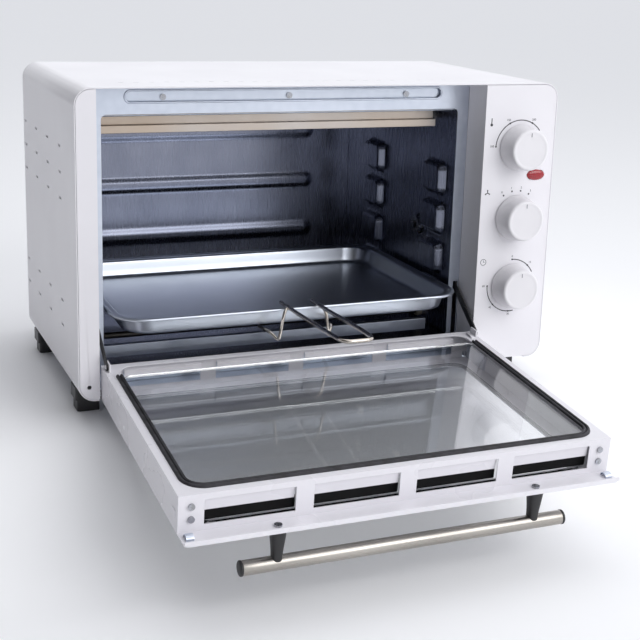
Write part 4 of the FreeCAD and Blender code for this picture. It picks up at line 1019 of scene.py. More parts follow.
@dataclass
class Chamber:
    """The pressed liners: walls with rack bosses, and a back with three long beads."""

    shop: Workshop
    step: float = 1.5 * MM
    boss_length: float = 45 * MM
    boss_height: float = 35 * MM
    boss_rise: float = 8.3 * MM
    boss_first: float = 24.4 * MM
    boss_spacing: float = 153 * MM
    boss_low: float = 63.5 * MM
    boss_corner: float = 9 * MM
    rack_pitch: float = 43 * MM
    bead_height: float = 22 * MM
    bead_rise: float = 2.4 * MM
    bead_rows: tuple[float, ...] = (107 * MM, 168 * MM, 229 * MM)
    bead_ends: Pair = (40 * MM, 48 * MM)
    bead_slope: float = 9.0 * MM
    wall_back: float = 8.5 * MM
    boss_slope: float = 5.5 * MM
    socket: tuple[float, float, float] = (-12 * MM, 150 * MM, 11 * MM)
    thickness: float = 0.5 * MM

    def build(self) -> None:
        """Press the two side walls and the back wall."""
        for label, way in (("cavity_left_wall", 1), ("cavity_right_wall", -1)):
            low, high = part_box(label)
            inner = high.x if way > 0 else low.x
            self.side(label, inner - way * self.wall_back, way, low, high)
        self.back()

    def within(self, u: float, v: float, low: Pair, high: Pair, radius: float) -> float:
        """How far a point is inside a rectangle with rounded corners.

        Args:
            u: The point, across.
            v: The point, up.
            low: The rectangle's low corner.
            high: The rectangle's high corner.
            radius: The corners' radius.

        Returns:
            The distance to the outline, less than 0 outside.
        """
        near_u = min(max(u, low[0] + radius), high[0] - radius)
        near_v = min(max(v, low[1] + radius), high[1] - radius)
        away = math.hypot(u - near_u, v - near_v)
        if away > 0:
            return radius - away
        return min(u - low[0], high[0] - u, v - low[1], high[1] - v)

    def side(self, label: str, face: float, way: int, low: Vector, high: Vector) -> None:
        """Press one side wall.

        Args:
            label: The frame's wall, whose place it takes.
            face: Where the wall's inner face is, across.
            way: 1 where inwards is +X, and -1 where it is -X.
            low: The wall's lowest corner.
            high: The wall's highest corner.
        """

        def rise(y: float, z: float) -> float:
            """Work out how far the rack guides lift one point of the side wall.

            Args:
                y: The point, from front to back.
                z: The point, up.

            Returns:
                The lift, in metres.
            """
            lift = 0.0
            for column in range(2):
                y0 = low.y + self.boss_first + self.boss_spacing * column
                for row in range(4):
                    z0 = self.boss_low + self.rack_pitch * row
                    inside = self.within(y, z, (y0 - 1 * MM, z0 - 1 * MM),
                                         (y0 + self.boss_length + 1 * MM, z0 + self.boss_height),
                                         self.boss_corner)
                    slope = ease((inside + 0.4 * MM) / self.boss_slope)
                    lift = max(lift, self.boss_rise * slope)
            return lift

        hole = self.socket if way < 0 else None
        points, faces = self.sheet(low.y, high.y, low.z, high.z, rise, hole)
        self.press(label, {key: (face + way * lift, y, z) for key, (y, z, lift) in points.items()},
                   faces)

    def back(self) -> None:
        """Press the back wall, whose beads stand towards the front."""
        low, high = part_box("cavity_back_wall")
        face = high.y - 1.0 * MM

        def rise(x: float, z: float) -> float:
            """Work out how far the beads lift one point of the back wall.

            Args:
                x: The point, across.
                z: The point, up.

            Returns:
                The lift, in metres.
            """
            lift = 0.0
            for row in self.bead_rows:
                half = self.bead_height / 2
                inside = self.within(x, z, (low.x + 1 * MM + self.bead_ends[0], row - half),
                                     (high.x - 1 * MM - self.bead_ends[1], row + half), half)
                lift = max(lift, self.bead_rise * ease(inside / self.bead_slope))
            return lift

        points, faces = self.sheet(low.x, high.x, low.z, high.z, rise, None)
        self.press("cavity_back_wall",
                   {key: (x, face - lift, z) for key, (x, z, lift) in points.items()}, faces)

    def press(self, label: str, points: dict[Place, Point], faces: list[list[Place]]) -> None:
        """Make one pressed wall of its points and faces.

        Args:
            label: The frame's wall, whose place it takes.
            points: Its points by their grid place.
            faces: Each face's corners, as grid places.
        """
        mesh = bmesh.new()
        verts = {key: mesh.verts.new(point) for key, point in points.items()}
        for quad in faces:
            mesh.faces.new([verts[k] for k in quad])
        piece = self.shop.solid(label.replace("cavity", "pressed"), mesh, 75.0)
        self.shop.thicken(piece, self.thickness, 0.0)
        self.shop.finish(piece, "liner_steel", Body.CASING, [label])

    def sheet(self, u0: float, u1: float, v0: float, v1: float,
              rise: Callable[[float, float], float],
              hole: tuple[float, float, float] | None
              ) -> tuple[dict[Place, Point], list[list[Place]]]:
        """Lay a grid over a flat sheet, with each point's rise and a round hole.

        Args:
            u0: The low side.
            u1: The high side.
            v0: The foot.
            v1: The head.
            rise: Gives how far a point is pressed.
            hole: The hole's middle and radius.

        Returns:
            Points by grid place, and the faces' corners.
        """
        across = round((u1 - u0) / self.step)
        up = round((v1 - v0) / self.step)
        points = {}
        for i in range(across + 1):
            for j in range(up + 1):
                u, v = u0 + (u1 - u0) * i / across, v0 + (v1 - v0) * j / up
                lift = rise(u, v)
                if hole:
                    away = math.hypot(u - hole[0], v - hole[1])
                    if abs(away - hole[2]) < self.step * 0.75:
                        u = hole[0] + (u - hole[0]) * hole[2] / away
                        v = hole[1] + (v - hole[1]) * hole[2] / away
                points[(i, j)] = (u, v, lift)
        faces = []
        for i in range(across):
            for j in range(up):
                corners = [(i, j), (i + 1, j), (i + 1, j + 1), (i, j + 1)]
                if hole:
                    mid_u = sum(points[c][0] for c in corners) / 4
                    mid_v = sum(points[c][1] for c in corners) / 4
                    if math.hypot(mid_u - hole[0], mid_v - hole[1]) < hole[2] - self.step * 0.2:
                        continue
                faces.append(corners)
        return points, faces


@dataclass
class BakingTray:
    """The deep-drawn tray with its rolled rim."""

    shop: Workshop
    corner: float = 34 * MM
    least_corner: float = 4 * MM
    sides: int = 6
    steps: int = 14
    thickness: float = 0.7 * MM
    profile: tuple[Pair, ...] = (
        (1.4, 99.2), (0.5, 98.9), (0.1, 99.6), (0.0, 100.4), (0.3, 101.2), (1.0, 101.65),
        (1.9, 101.75), (2.8, 101.5), (3.3, 101.05), (4.0, 100.85), (6.0, 100.8), (8.0, 100.75),
        (9.0, 100.5), (9.9, 99.7), (10.3, 98.6), (10.7, 97.0), (11.7, 92.0), (12.8, 87.4),
        (13.4, 85.6), (14.4, 84.3), (16.0, 83.75), (19.0, 83.6), (22.0, 83.9), (24.5, 84.25), (27.0, 84.3),
        (45.0, 84.3), (70.0, 84.25), (95.0, 84.2), (110.0, 84.2))

    def build(self) -> None:
        """Draw the tray's rings from its rim to its floor and close the floor."""
        low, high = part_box("baking_tray")
        rings = []
        for inset_mm, height in self.profile:
            inset = inset_mm * MM
            radius = max(self.least_corner, self.corner - inset * 0.62)
            loop = rounded_loop(low.x + inset, low.y + inset, high.x - inset, high.y - inset,
                                radius, self.steps, self.sides)
            rings.append([(x, y, height * MM) for x, y in loop])
        mesh = bmesh.new()
        self.shop.skin(mesh, rings)
        mesh.verts.ensure_lookup_table()
        count = len(rings[0])
        mesh.faces.new([mesh.verts[len(mesh.verts) - count + i] for i in range(count)])
        piece = self.shop.solid("drawn_tray", mesh, 60.0)
        self.shop.thicken(piece, self.thickness, -1.0)
        self.shop.finish(piece, "tray_steel", Body.TRAY, ["baking_tray"])


@dataclass
class TrayGrip:
    """The bent wire handle that hooks under the tray's rim with two claws."""

    shop: Workshop
    half: float = 16 * MM
    wire: float = 2 * MM
    claw_wire: float = 1.6 * MM

    def build(self) -> None:
        """Bend the long loop and the two claws."""
        low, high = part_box("tray_handle")
        tray_low, tray_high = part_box("baking_tray")
        x = (low.x + high.x) / 2
        y = tray_low.y
        z = tray_high.z + 2.6 * MM
        end = low.y + self.wire
        h = self.half
        loop = [
            (x - h, y + 14 * MM, z), (x - h, y + 2 * MM, z), (x - h, y - 40 * MM, z + 1 * MM),
            (x - h - 0.5 * MM, y - 90 * MM, z + 3 * MM), (x - h, end + 22 * MM, z + 4 * MM),
            (x - h + 1 * MM, end + 5 * MM, z + 4 * MM), (x - h + 6 * MM, end, z + 4 * MM),
            (x, end, z + 4 * MM),
            (x + h - 6 * MM, end, z + 4 * MM), (x + h - 1 * MM, end + 5 * MM, z + 4 * MM),
            (x + h, end + 22 * MM, z + 4 * MM), (x + h + 0.5 * MM, y - 90 * MM, z + 3 * MM),
            (x + h, y - 40 * MM, z + 1 * MM), (x + h, y + 2 * MM, z), (x + h, y + 14 * MM, z),
        ]
        parts = [self.shop.wire("grip_loop", loop, self.wire)]
        for side in (-1, 1):
            foot = tray_low.z - 3.5 * MM
            claw = [
                (x + side * h, y + 4 * MM, z), (x + side * h, y - 5 * MM, z + 0.3 * MM),
                (x + side * (h + 3 * MM), y - 9 * MM, z - 0.5 * MM),
                (x + side * (h + 6 * MM), y - 10.5 * MM, z - 6 * MM),
                (x + side * (h + 8 * MM), y - 10.5 * MM, z - 16 * MM),
                (x + side * (h + 9.5 * MM), y - 9.5 * MM, foot - 4.5 * MM),
                (x + side * (h + 11 * MM), y - 7.5 * MM, foot - 6 * MM),
                (x + side * (h + 14 * MM), y - 3 * MM, foot - 2 * MM),
                (x + side * (h + 17.5 * MM), y + 1 * MM, foot + 0.6 * MM),
                (x + side * (h + 19 * MM), y + 12 * MM, foot + 0.2 * MM),
                (x + side * (h + 20 * MM), y + 23 * MM, foot),
            ]
            parts.append(self.shop.wire("claw%d" % (side + 1), claw, self.claw_wire))
        whole = self.shop.join("wire_tray_grip", parts)
        self.shop.finish(whole, "chrome_wire", Body.GRIP, ["tray_handle"])


@dataclass
class Hinge:
    """The line that the door swings about, and the angle that it stands open at."""

    y: float = -124.9 * MM
    z: float = 30.35 * MM
    angle: float = math.radians(95.3)

    def swing(self, x: float, inward: float, up: float) -> Point:
        """Put a point of the shut door in the open pose.

        Args:
            x: Across the door.
            inward: From the hinge line towards the oven's back.
            up: Above the hinge line.

        Returns:
            The point in the row frame.
        """
        c, s = math.cos(self.angle), math.sin(self.angle)
        return (x, self.y + inward * c - up * s, self.z + inward * s + up * c)


@dataclass
class Door:
    """The glazed door: its slots' folded flaps, its gasket, brackets and dimples."""

    shop: Workshop
    hinge: Hinge = field(default_factory=Hinge)
    left: float = -228.3 * MM
    right: float = 164.75 * MM
    foot: float = 1.65 * MM
    top: float = 261.6 * MM
    inner: float = 27.9 * MM
    window: float = 14 * MM
    window_foot: float = 30 * MM
    corner: float = 14 * MM
    slot_end: float = 21.2 * MM
    slot_web: float = 15.5 * MM
    slot_low: float = 1 * MM
    slot_high: float = 22.6 * MM
    slots: int = 4
    lip: float = -4.3 * MM
    edge: float = 0.45 * MM
    gasket_half: float = 3.2 * MM
    rib_centres: Pair = (-1.75, 1.75)
    rib_radius: Pair = (1.45, 1.55)
    flap_bend: float = 1.5 * MM
    flap_thickness: float = 0.7 * MM
    # where the black card of painted shade sits, below the door's head
    shade_card_depths: Pair = (7.5 * MM, 8.3 * MM)
    side_steps: int = 40
    corner_steps: int = 16
    head_steps: int = 60

    def build(self) -> None:
        """Make the flaps, the gasket and the small pressings, and round the sheet's edges."""
        for node in ("door_skin", "door_frame"):
            self.shop.soften(node, self.edge, 3)
        self.gasket()
        self.flaps()
        self.catch()
        self.hooks()
        self.lances()

    def gasket(self) -> None:
        """Run a double-ribbed rubber strip round three sides of the window."""
        half = self.gasket_half
        x0, x1 = self.left + self.window - half, self.right - self.window + half
        low, high = self.foot + self.window_foot - 2 * MM, self.top - self.window + half
        radius = self.corner + 3 * MM
        line: list[tuple[Pair, Pair]] = []
        sides, bends, heads = self.side_steps, self.corner_steps, self.head_steps
        for i in range(sides + 1):
            line.append(((x0, low + (high - radius - low) * i / sides), (0.0, 1.0)))
        for i in range(1, bends + 1):
            t = math.pi - math.pi / 2 * i / bends
            line.append(((x0 + radius + radius * math.cos(t),
                          high - radius + radius * math.sin(t)), (math.sin(t), -math.cos(t))))
        for i in range(1, heads):
            line.append(((x0 + radius + (x1 - x0 - 2 * radius) * i / heads, high), (1.0, 0.0)))
        for i in range(bends + 1):
            t = math.pi / 2 - math.pi / 2 * i / bends
            line.append(((x1 - radius + radius * math.cos(t),
                          high - radius + radius * math.sin(t)), (math.sin(t), -math.cos(t))))
        for i in range(1, sides + 1):
            line.append(((x1, high - radius + (low - high + radius) * i / sides), (0.0, -1.0)))
        profile: list[Pair] = [(-3.4, 0.0)]
        wide, tall = self.rib_radius
        for centre in self.rib_centres:
            for i in range(9):
                t = math.pi - math.pi * i / 8
                profile.append((centre + wide * math.cos(t), 0.55 + tall * math.sin(t)))
        profile.append((3.4, 0.0))
        rings = []
        for (x, up), (tx, tz) in line:
            ring = []
            for across, rise in profile:
                ring.append(self.hinge.swing(x - tz * across * MM, self.inner + rise * MM,
                                             up + tx * across * MM))
            rings.append(ring)
        mesh = bmesh.new()
        self.shop.skin(mesh, rings, caps=True)
        piece = self.shop.solid("ribbed_gasket", mesh, 50.0)
        self.shop.finish(piece, "seal_rubber", Body.DOOR, ["door_seal"])

    def flaps(self) -> None:
        """Fold the upper half of each slot's sheet inwards, at the door's head and at its foot."""
        span = self.right - self.left - self.slot_end * 2
        width = (span - self.slot_web * (self.slots - 1)) / self.slots
        starts = [self.left + self.slot_end + (width + self.slot_web) * number
                  for number in range(self.slots)]
        mesh = bmesh.new()
        for place, way in ((self.top, -1), (self.foot, 1)):
            for x0 in starts:
                self.flap(mesh, (x0 + 0.3 * MM, x0 + width - 0.3 * MM), place, way)
        piece = self.shop.solid("slot_flaps", mesh, 50.0)
        self.shop.finish(piece, "door_enamel", Body.DOOR)
        # painted shade: a black card just under the door's head, behind each slot, stands in for the shade
        # inside the door
        dark = bmesh.new()
        for x0 in starts:
            loop = rounded_loop(x0 - 2 * MM, self.slot_low - 0.5 * MM, x0 + width + 2 * MM,
                                self.slot_low + 11 * MM, 1 * MM, 3)
            rings = [[self.hinge.swing(a, b, self.top - depth) for a, b in loop]
                     for depth in self.shade_card_depths]
            self.shop.skin(dark, rings, caps=True)
        piece = self.shop.solid("slot_shade_card", dark)
        self.shop.finish(piece, "shadow", Body.DOOR, slot="seal_rubber")

    def flap(self, mesh: bmesh.types.BMesh, ends: Pair, place: float, way: int) -> None:
        """Add one folded flap: a small bend at the slot's inner edge, then a leaning tongue.

        Args:
            mesh: The bmesh that gets the flap.
            ends: Where the flap starts and ends, across.
            place: The height of the door's edge that the slot is in.
            way: 1 where the tongue goes up from that edge, and -1 where it goes down.
        """
        path: list[Pair] = []
        bend = self.flap_bend
        for i in range(7):
            t = math.pi / 2 * i / 6
            path.append((self.slot_high + 0.2 * MM - bend * math.sin(t),
                         place + way * (0.9 * MM + bend * (1 - math.cos(t)))))
        path.append((self.slot_high - 6 * MM, place + way * 3.0 * MM))
        path.append((self.slot_high - 11 * MM, place + way * 3.6 * MM))
        thick = self.flap_thickness
        outer = [self.hinge.swing(ends[0], a, b) for a, b in path]
        inner = [self.hinge.swing(ends[0], a + 0.35 * thick, b + way * thick) for a, b in path]
        ring = outer + list(reversed(inner))
        other = [(ends[1], y, z) for _, y, z in ring]
        self.shop.skin(mesh, [ring, other], caps=True)

    def catch(self) -> None:
        """Stand a low white lanced loop on the door's flange beside the right hinge."""
        mesh = bmesh.new()
        x = self.right - 7.5 * MM
        rings = []
        for i in range(13):
            t = math.pi * i / 12
            a, rise = math.cos(t), math.sin(t)
            rings.append([self.hinge.swing(x + across * MM,
                                           self.inner + 0.1 * MM + rise * out * MM,
                                           self.foot + (13 + a * (7 - inset)) * MM)
                          for across, out, inset in ((-2.2, 2.1, 0.0), (2.2, 2.1, 0.0),
                                                     (2.2, 1.5, 0.8), (-2.2, 1.5, 0.8))])
        self.shop.skin(mesh, rings, caps=True)
        piece = self.shop.solid("latch_loop", mesh, 50.0)
        self.shop.finish(piece, "door_enamel", Body.DOOR)

    def hooks(self) -> None:
        """Stand two small lanced loops on the skin's lip, past the frame's corners."""
        mesh = bmesh.new()
        for x in (self.left + 6.5 * MM, self.right - 6.5 * MM):
            rings = []
            for i in range(11):
                t = math.pi * i / 10
                a, rise = math.cos(t), math.sin(t) ** 0.6
                rings.append([self.hinge.swing(x + across * MM, self.lip + rise * out * MM,
                                               self.top + (9.5 - a * (4.5 - inset)) * MM)
                              for across, out, inset in ((-3.2, 4.2, 0.0), (3.2, 4.2, 0.0),
                                                         (3.2, 3.4, 0.8), (-3.2, 3.4, 0.8))])
            self.shop.skin(mesh, rings, caps=True)
        piece = self.shop.solid("lip_hooks", mesh, 50.0)
        self.shop.finish(piece, "galvanised_steel", Body.DOOR)

    def lances(self) -> None:
        """Press two small tongues out of the door's sides near its head."""
        mesh = bmesh.new()
        loop = rounded_loop(5 * MM, self.top - 15 * MM, 13 * MM, self.top - 6 * MM, 1.5 * MM, 4)
        for x, way in ((self.left, 1), (self.right, -1)):
            rings = [[self.hinge.swing(x + way * (0.3 * MM + sink), a, b) for a, b in loop]
                     for sink in (0.0, -0.9 * MM)]
            small = [self.hinge.swing(x - way * 0.8 * MM, 9 * MM + (a - 9 * MM) * 0.6,
                                      self.top - 10.5 * MM + (b - self.top + 10.5 * MM) * 0.6)
                     for a, b in loop]
            self.shop.skin(mesh, [rings[0], rings[1], small], caps=True)
        piece = self.shop.solid("side_lances", mesh, 60.0)
        self.shop.finish(piece, "door_enamel", Body.DOOR)


@dataclass
class Handle:
    """The brushed bar, its dark end plugs and its two moulded posts."""

    shop: Workshop
    hinge: Hinge = field(default_factory=Hinge)
    radius: float = 6.25 * MM
    half: float = 149.5 * MM
    plug: float = 3 * MM
    middle: float = -31.775 * MM
    out: float = 37.2 * MM
    height: float = 272 * MM
    post_offset: float = 117.5 * MM
    skin_out: float = 5.1 * MM
    root: float = 6.6
    tip: Pair = (4.4, 5.2)
    squareness: float = 0.72
    bar_steps: int = 24

    def build(self) -> None:
        """Make the bar, its plugs and its posts."""
        r = self.radius

        def along(x: float) -> Callable[[float, float, float], Point]:
            """Give the placing of a turned piece that starts at x along the bar."""
            return lambda a, b, h: self.hinge.swing(x + h, a - self.out, b + self.height)

        length = self.half * 2 - self.plug * 2
        bar = [(r - 0.5 * MM, 0.0), (r - 0.1 * MM, 0.2 * MM), (r, 0.6 * MM)]
        bar += [(r, length * i / self.bar_steps) for i in range(1, self.bar_steps)]
        bar += [(r, length - 0.6 * MM), (r - 0.1 * MM, length - 0.2 * MM), (r - 0.5 * MM, length)]
        piece = self.shop.lathe("brushed_bar", bar, along(self.middle - self.half + self.plug))
        self.shop.finish(piece, "bar_steel", Body.DOOR, ["handle_bar"])
        plugs = []
        for number, (start, way) in enumerate(((self.middle - self.half + self.plug, -1),
                                               (self.middle + self.half - self.plug, 1))):
            shape = [(r + 0.1 * MM, 0.0), (r + 0.25 * MM, 0.25 * MM), (r + 0.25 * MM, 1.4 * MM)]
            shape += [((r + 0.25 * MM) * math.cos(t), 1.4 * MM + 1.6 * MM * math.sin(t))
                      for t in (0.3, 0.6, 0.9, 1.2, 1.4, 1.5)]
            turned = [(a, way * h) for a, h in shape]
            plugs.append(self.shop.lathe("plug%d" % number, turned, along(start), 64))
        self.shop.finish(self.shop.join("bar_plugs", plugs), "black_plastic", Body.DOOR,
                         ["handle_end_caps"])
        for side, label in ((-1, "left_handle_post"), (1, "right_handle_post")):
            self.post(side, label)

    def post(self, side: int, label: str) -> None:
        """Mould one post: a tapered stalk whose round tip is seated in the bar.

        Args:
            side: -1 for the left post, and 1 for the right one.
            label: The frame's post, whose place it takes.
        """
        x = self.middle + self.post_offset * side
        mesh = bmesh.new()
        rings = []
        reach = self.out - self.skin_out
        for i in range(25):
            t = i / 24
            depth = -self.skin_out - reach * t
            taper = ease(t * 1.2)
            rings.append(self.oval(x, depth, (self.root - 2.2 * taper) * MM,
                                   (self.root - 1.4 * taper) * MM))
        for i in range(1, 9):
            t = i / 8 * math.pi / 2
            close = max(0.3, math.cos(t))
            rings.append(self.oval(x, -self.out - 2.0 * MM * math.sin(t),
                                   self.tip[0] * MM * close, self.tip[1] * MM * close))
        self.shop.skin(mesh, rings, caps=True)
        piece = self.shop.solid(label.replace("handle_post", "moulded_post"), mesh, 70.0)
        self.shop.finish(piece, "black_plastic", Body.DOOR, [label])

    def oval(self, x: float, depth: float, wide: float, tall: float) -> list[Point]:
        """Draw one soft-cornered section of a post, square to its length.

        Args:
            x: The section's middle, across.
            depth: Where it lies along the post.
            wide: Half its width.
            tall: Half its height.

        Returns:
            The section's points.
        """
        found = []
        for i in range(40):
            t = 2 * math.pi * i / 40
            c, s = math.cos(t), math.sin(t)
            a = math.copysign(abs(c) ** self.squareness, c) * wide
            b = math.copysign(abs(s) ** self.squareness, s) * tall
            found.append(self.hinge.swing(x + a, depth, self.height + b))
        return found


@dataclass
class Dial:
    """One knob, and the scale printed behind it in degrees from three o'clock."""

    body: Body
    height: float
    arcs: tuple[Pair, ...]
    marks: tuple[tuple[float, str], ...]


@dataclass
class Controls:
    """The panel's knobs, printed scales and pilot lamp."""

    shop: Workshop
    middle: float = 208.1 * MM
    face: float = -131 * MM
    radius: float = 23.5 * MM
    depth: float = 22 * MM
    gap: float = 0.8 * MM
    edge: float = 0.5 * MM
    ink: float = 0.12 * MM
    sunk: float = 0.05 * MM
    scale_out: float = 4.6 * MM
    line_width: float = 0.95 * MM
    number_size: float = 3.1 * MM
    sign_left: float = 34.5 * MM
    sign_up: float = 27 * MM
    sign_radius: float = 3.2 * MM
    dials: tuple[Dial, ...] = (
        Dial(Body.TEMPERATURE, 251.7 * MM, ((177.0, 37.0),),
             ((177.0, "100"), (117.5, "150"), (62.0, "200"))),
        Dial(Body.FUNCTION, 178.5 * MM, (), ((123.0, "0"), (101.6, "1"), (80.4, "2"), (59.0, "3"))),
        Dial(Body.TIMER, 105.3 * MM, ((90.0, 28.0), (178.0, 280.0)),
             ((90.0, "0"), (47.4, "15"), (178.0, "60"), (224.0, "45"), (268.0, "30"))))

    def build(self) -> None:
        """Turn the knobs, print the panel and make the lamp's lens."""
        self.shop.soften("control_panel", self.edge, 3)
        for dial in self.dials:
            self.knob(dial)
        self.scales()
        self.lens()

    def knob(self, dial: Dial) -> None:
        """Turn one knob and inlay its pointer.

        Args:
            dial: The knob and its scale.
        """
        near, far = self.face - self.gap, self.face - self.gap - self.depth
        r = self.radius

        def place(a: float, b: float, h: float) -> Point:
            """Put a point of the knob on the panel: a across, b up and h along its axis."""
            return (self.middle + a, h, dial.height + b)

        shape: list[Pair] = [(3.2 * MM, near), (r - 0.6 * MM, near), (r, near - 0.5 * MM),
                             (r, near - 3.4 * MM), (r - 0.4 * MM, near - 4.4 * MM),
                             (r - 0.7 * MM, near - 5.2 * MM)]
        shape += [(r - (0.7 + 1.7 * i / 8) * MM,
                   near - (5.2 + (self.depth / MM - 8.2) * i / 8) * MM) for i in range(1, 9)]
        edge = r - 2.4 * MM
        shape += [(edge - 2.4 * MM * (1 - math.cos(t)), far + 3.0 * MM - 3.0 * MM * math.sin(t))
                  for t in (0.25, 0.5, 0.75, 1.0, 1.25, 1.45, 1.57)]
        shape += [(edge - 3.2 * MM, far), (edge - 3.9 * MM, far + 0.25 * MM),
                  (edge - 5 * MM, far + 0.32 * MM), (9 * MM, far + 0.4 * MM),
                  (2 * MM, far + 0.42 * MM), (0.3 * MM, far + 0.42 * MM)]
        name = dial.body.value
        piece = self.shop.lathe(name.replace("knob", "dial"), shape, place, 128)
        self.shop.finish(piece, "white_plastic", dial.body, [name])
        mesh = bmesh.new()
        loop = rounded_loop(-0.45 * MM, 13.5 * MM, 0.45 * MM, 18.5 * MM, 0.4 * MM, 6)
        rings = [[place(a, b, far + h * MM) for a, b in loop] for h in (0.5, 0.12, 0.08)]
        self.shop.skin(mesh, rings, caps=True)
        mark = self.shop.solid(name.replace("knob", "pointer"), mesh)
        self.shop.finish(mark, "faint_ink", dial.body, slot="white_plastic")

    def stroke(self, mesh: bmesh.types.BMesh, line: Sequence[Pair],
               widths: Sequence[float]) -> None:
        """Print one line of ink on the panel.

        Args:
            mesh: The bmesh that gets the line.
            line: The points of its middle, across and up.
            widths: Its width at each point.
        """
        rings = []
        for i, (x, z) in enumerate(line):
            ax, az = line[max(0, i - 1)]
            bx, bz = line[min(len(line) - 1, i + 1)]
            size = math.hypot(bx - ax, bz - az) or 1.0
            nx, nz = -(bz - az) / size, (bx - ax) / size
            w = widths[i] / 2
            rings.append([(x + nx * w, self.face - self.ink, z + nz * w),
                          (x - nx * w, self.face - self.ink, z - nz * w),
                          (x - nx * w, self.face + self.sunk, z - nz * w),
                          (x + nx * w, self.face + self.sunk, z + nz * w)])
        self.shop.skin(mesh, rings, caps=True)

    def dot(self, mesh: bmesh.types.BMesh, x: float, z: float, radius: float) -> None:
        """Print one round dot.

        Args:
            mesh: The bmesh that gets the dot.
            x: Its middle, across.
            z: Its middle, up.
            radius: Its radius.
        """
        turns = [2 * math.pi * i / 20 for i in range(20)]
        rings = [[(x + radius * math.cos(t), y, z + radius * math.sin(t)) for t in turns]
                 for y in (self.face - self.ink, self.face + self.sunk)]
        self.shop.skin(mesh, rings, caps=True)

    def scales(self) -> None:
        """Print each dial's arcs, its dots and its numbers, and the three small signs."""
        mesh = bmesh.new()
        numerals = []
        ring = self.radius + self.scale_out
        for dial in self.dials:
            for start, end in dial.arcs:
                turns = [math.radians(start + (end - start) * i / 60) for i in range(61)]
                line = [(self.middle + ring * math.cos(t), dial.height + ring * math.sin(t))
                        for t in turns]
                self.stroke(mesh, line, [self.line_width] * len(line))
            for degrees, text in dial.marks:
                c, s = math.cos(math.radians(degrees)), math.sin(math.radians(degrees))
                self.dot(mesh, self.middle + ring * c, dial.height + ring * s, self.line_width)
                out = ring + (3.2 + 1.4 * abs(c)) * MM
                numerals.append((text, self.middle + out * c, dial.height + out * s))
        self.signs(mesh)
        ink = self.shop.solid("printed_scales", mesh, 30.0)
        self.shop.finish(ink, "ink", Body.CASING, slot="panel_enamel")
        pieces = [self.numeral(text, x, z, i) for i, (text, x, z) in enumerate(numerals)]
        self.shop.finish(self.shop.join("printed_numbers", pieces), "ink", Body.CASING,
                         slot="panel_enamel")

    def signs(self, mesh: bmesh.types.BMesh) -> None:
        """Print a thermometer, a fan and a clock beside the dials.

        Args:
            mesh: The bmesh that gets the signs.
        """
        x = self.middle - self.sign_left
        r = self.sign_radius
        top, mid, low = (dial.height + self.sign_up for dial in self.dials)
        self.dot(mesh, x, top - 3.2 * MM, 1.5 * MM)
        self.stroke(mesh, [(x, top - 3 * MM), (x, top + 3.5 * MM)], [1.0 * MM, 1.0 * MM])
        for turn in (90, 210, 330):
            t = math.radians(turn)
            self.stroke(mesh, [(x, mid), (x + r * math.cos(t), mid + r * math.sin(t))],
                        [0.6 * MM, 1.4 * MM])
        circle = [(x + r * math.cos(t), low + r * math.sin(t))
                  for t in (2 * math.pi * i / 32 for i in range(33))]
        self.stroke(mesh, circle, [0.5 * MM] * len(circle))
        self.stroke(mesh, [(x, low + 2 * MM), (x, low), (x + 1.4 * MM, low)], [0.5 * MM] * 3)

    def numeral(self, text: str, x: float, z: float, index: int) -> bpy.types.Object:
        """Print one number of a dial.

        Args:
            text: The number.
            x: Its middle, across.
            z: Its middle, up.
            index: Keeps the names apart.

        Returns:
            The number as a mesh.
        """
        letters = bpy.data.curves.new("number%d" % index, "FONT")
        letters.body = text
        letters.size = self.number_size
        letters.align_x = "CENTER"
        letters.align_y = "CENTER"
        letters.extrude = self.sunk
        data = mesh_of("number%d" % index, letters)
        turn = Matrix.Rotation(math.radians(90), 4, "X")
        data.transform(Matrix.Translation((x, self.face - 0.06 * MM, z)) @ turn)
        return show("numeral%d" % index, data)

    def lens(self) -> None:
        """Make the pilot lamp's pillow-shaped lens in its thin bezel."""
        low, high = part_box("lamp_lens")
        mesh = bmesh.new()
        rings = []
        middle = (low + high) / 2
        half_x, half_z = (high.x - low.x) / 2 - 0.6 * MM, (high.z - low.z) / 2 - 0.6 * MM
        for i in range(10):
            t = min(i / 8, 0.98) * math.pi / 2
            loop = [(middle.x + half_x * math.cos(t) * math.cos(turn),
                     middle.z + half_z * math.cos(t) * math.sin(turn))
                    for turn in (2 * math.pi * k / 48 for k in range(48))]
            y = self.face + (low.y - self.face) * math.sin(t)
            rings.append([(a, y, b) for a, b in loop])
        self.shop.skin(mesh, rings, caps=True)
        piece = self.shop.solid("lamp_dome", mesh, 60.0)
        self.shop.finish(piece, "red_lens", Body.CASING, ["lamp_lens"])


class Frame:
    """Dresses every node that is carried over from the frame."""

    other: dict[str, str] = {"lower_heater_guard": "galvanised_steel"}

    def __init__(self, shop: Workshop) -> None:
        """Keep the workshop."""
        self.shop = shop

    def dress(self) -> None:
        """Give each carried-over node the finish of its own slot."""
        for name, piece in sorted(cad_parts.items()):
            for place in piece.material_slots:
                slot = self.other.get(name, place.material.name.split(".")[0])
                place.material = self.shop.paint.of(slot)
            log.info("%s keeps its shape as %s", name, slot)


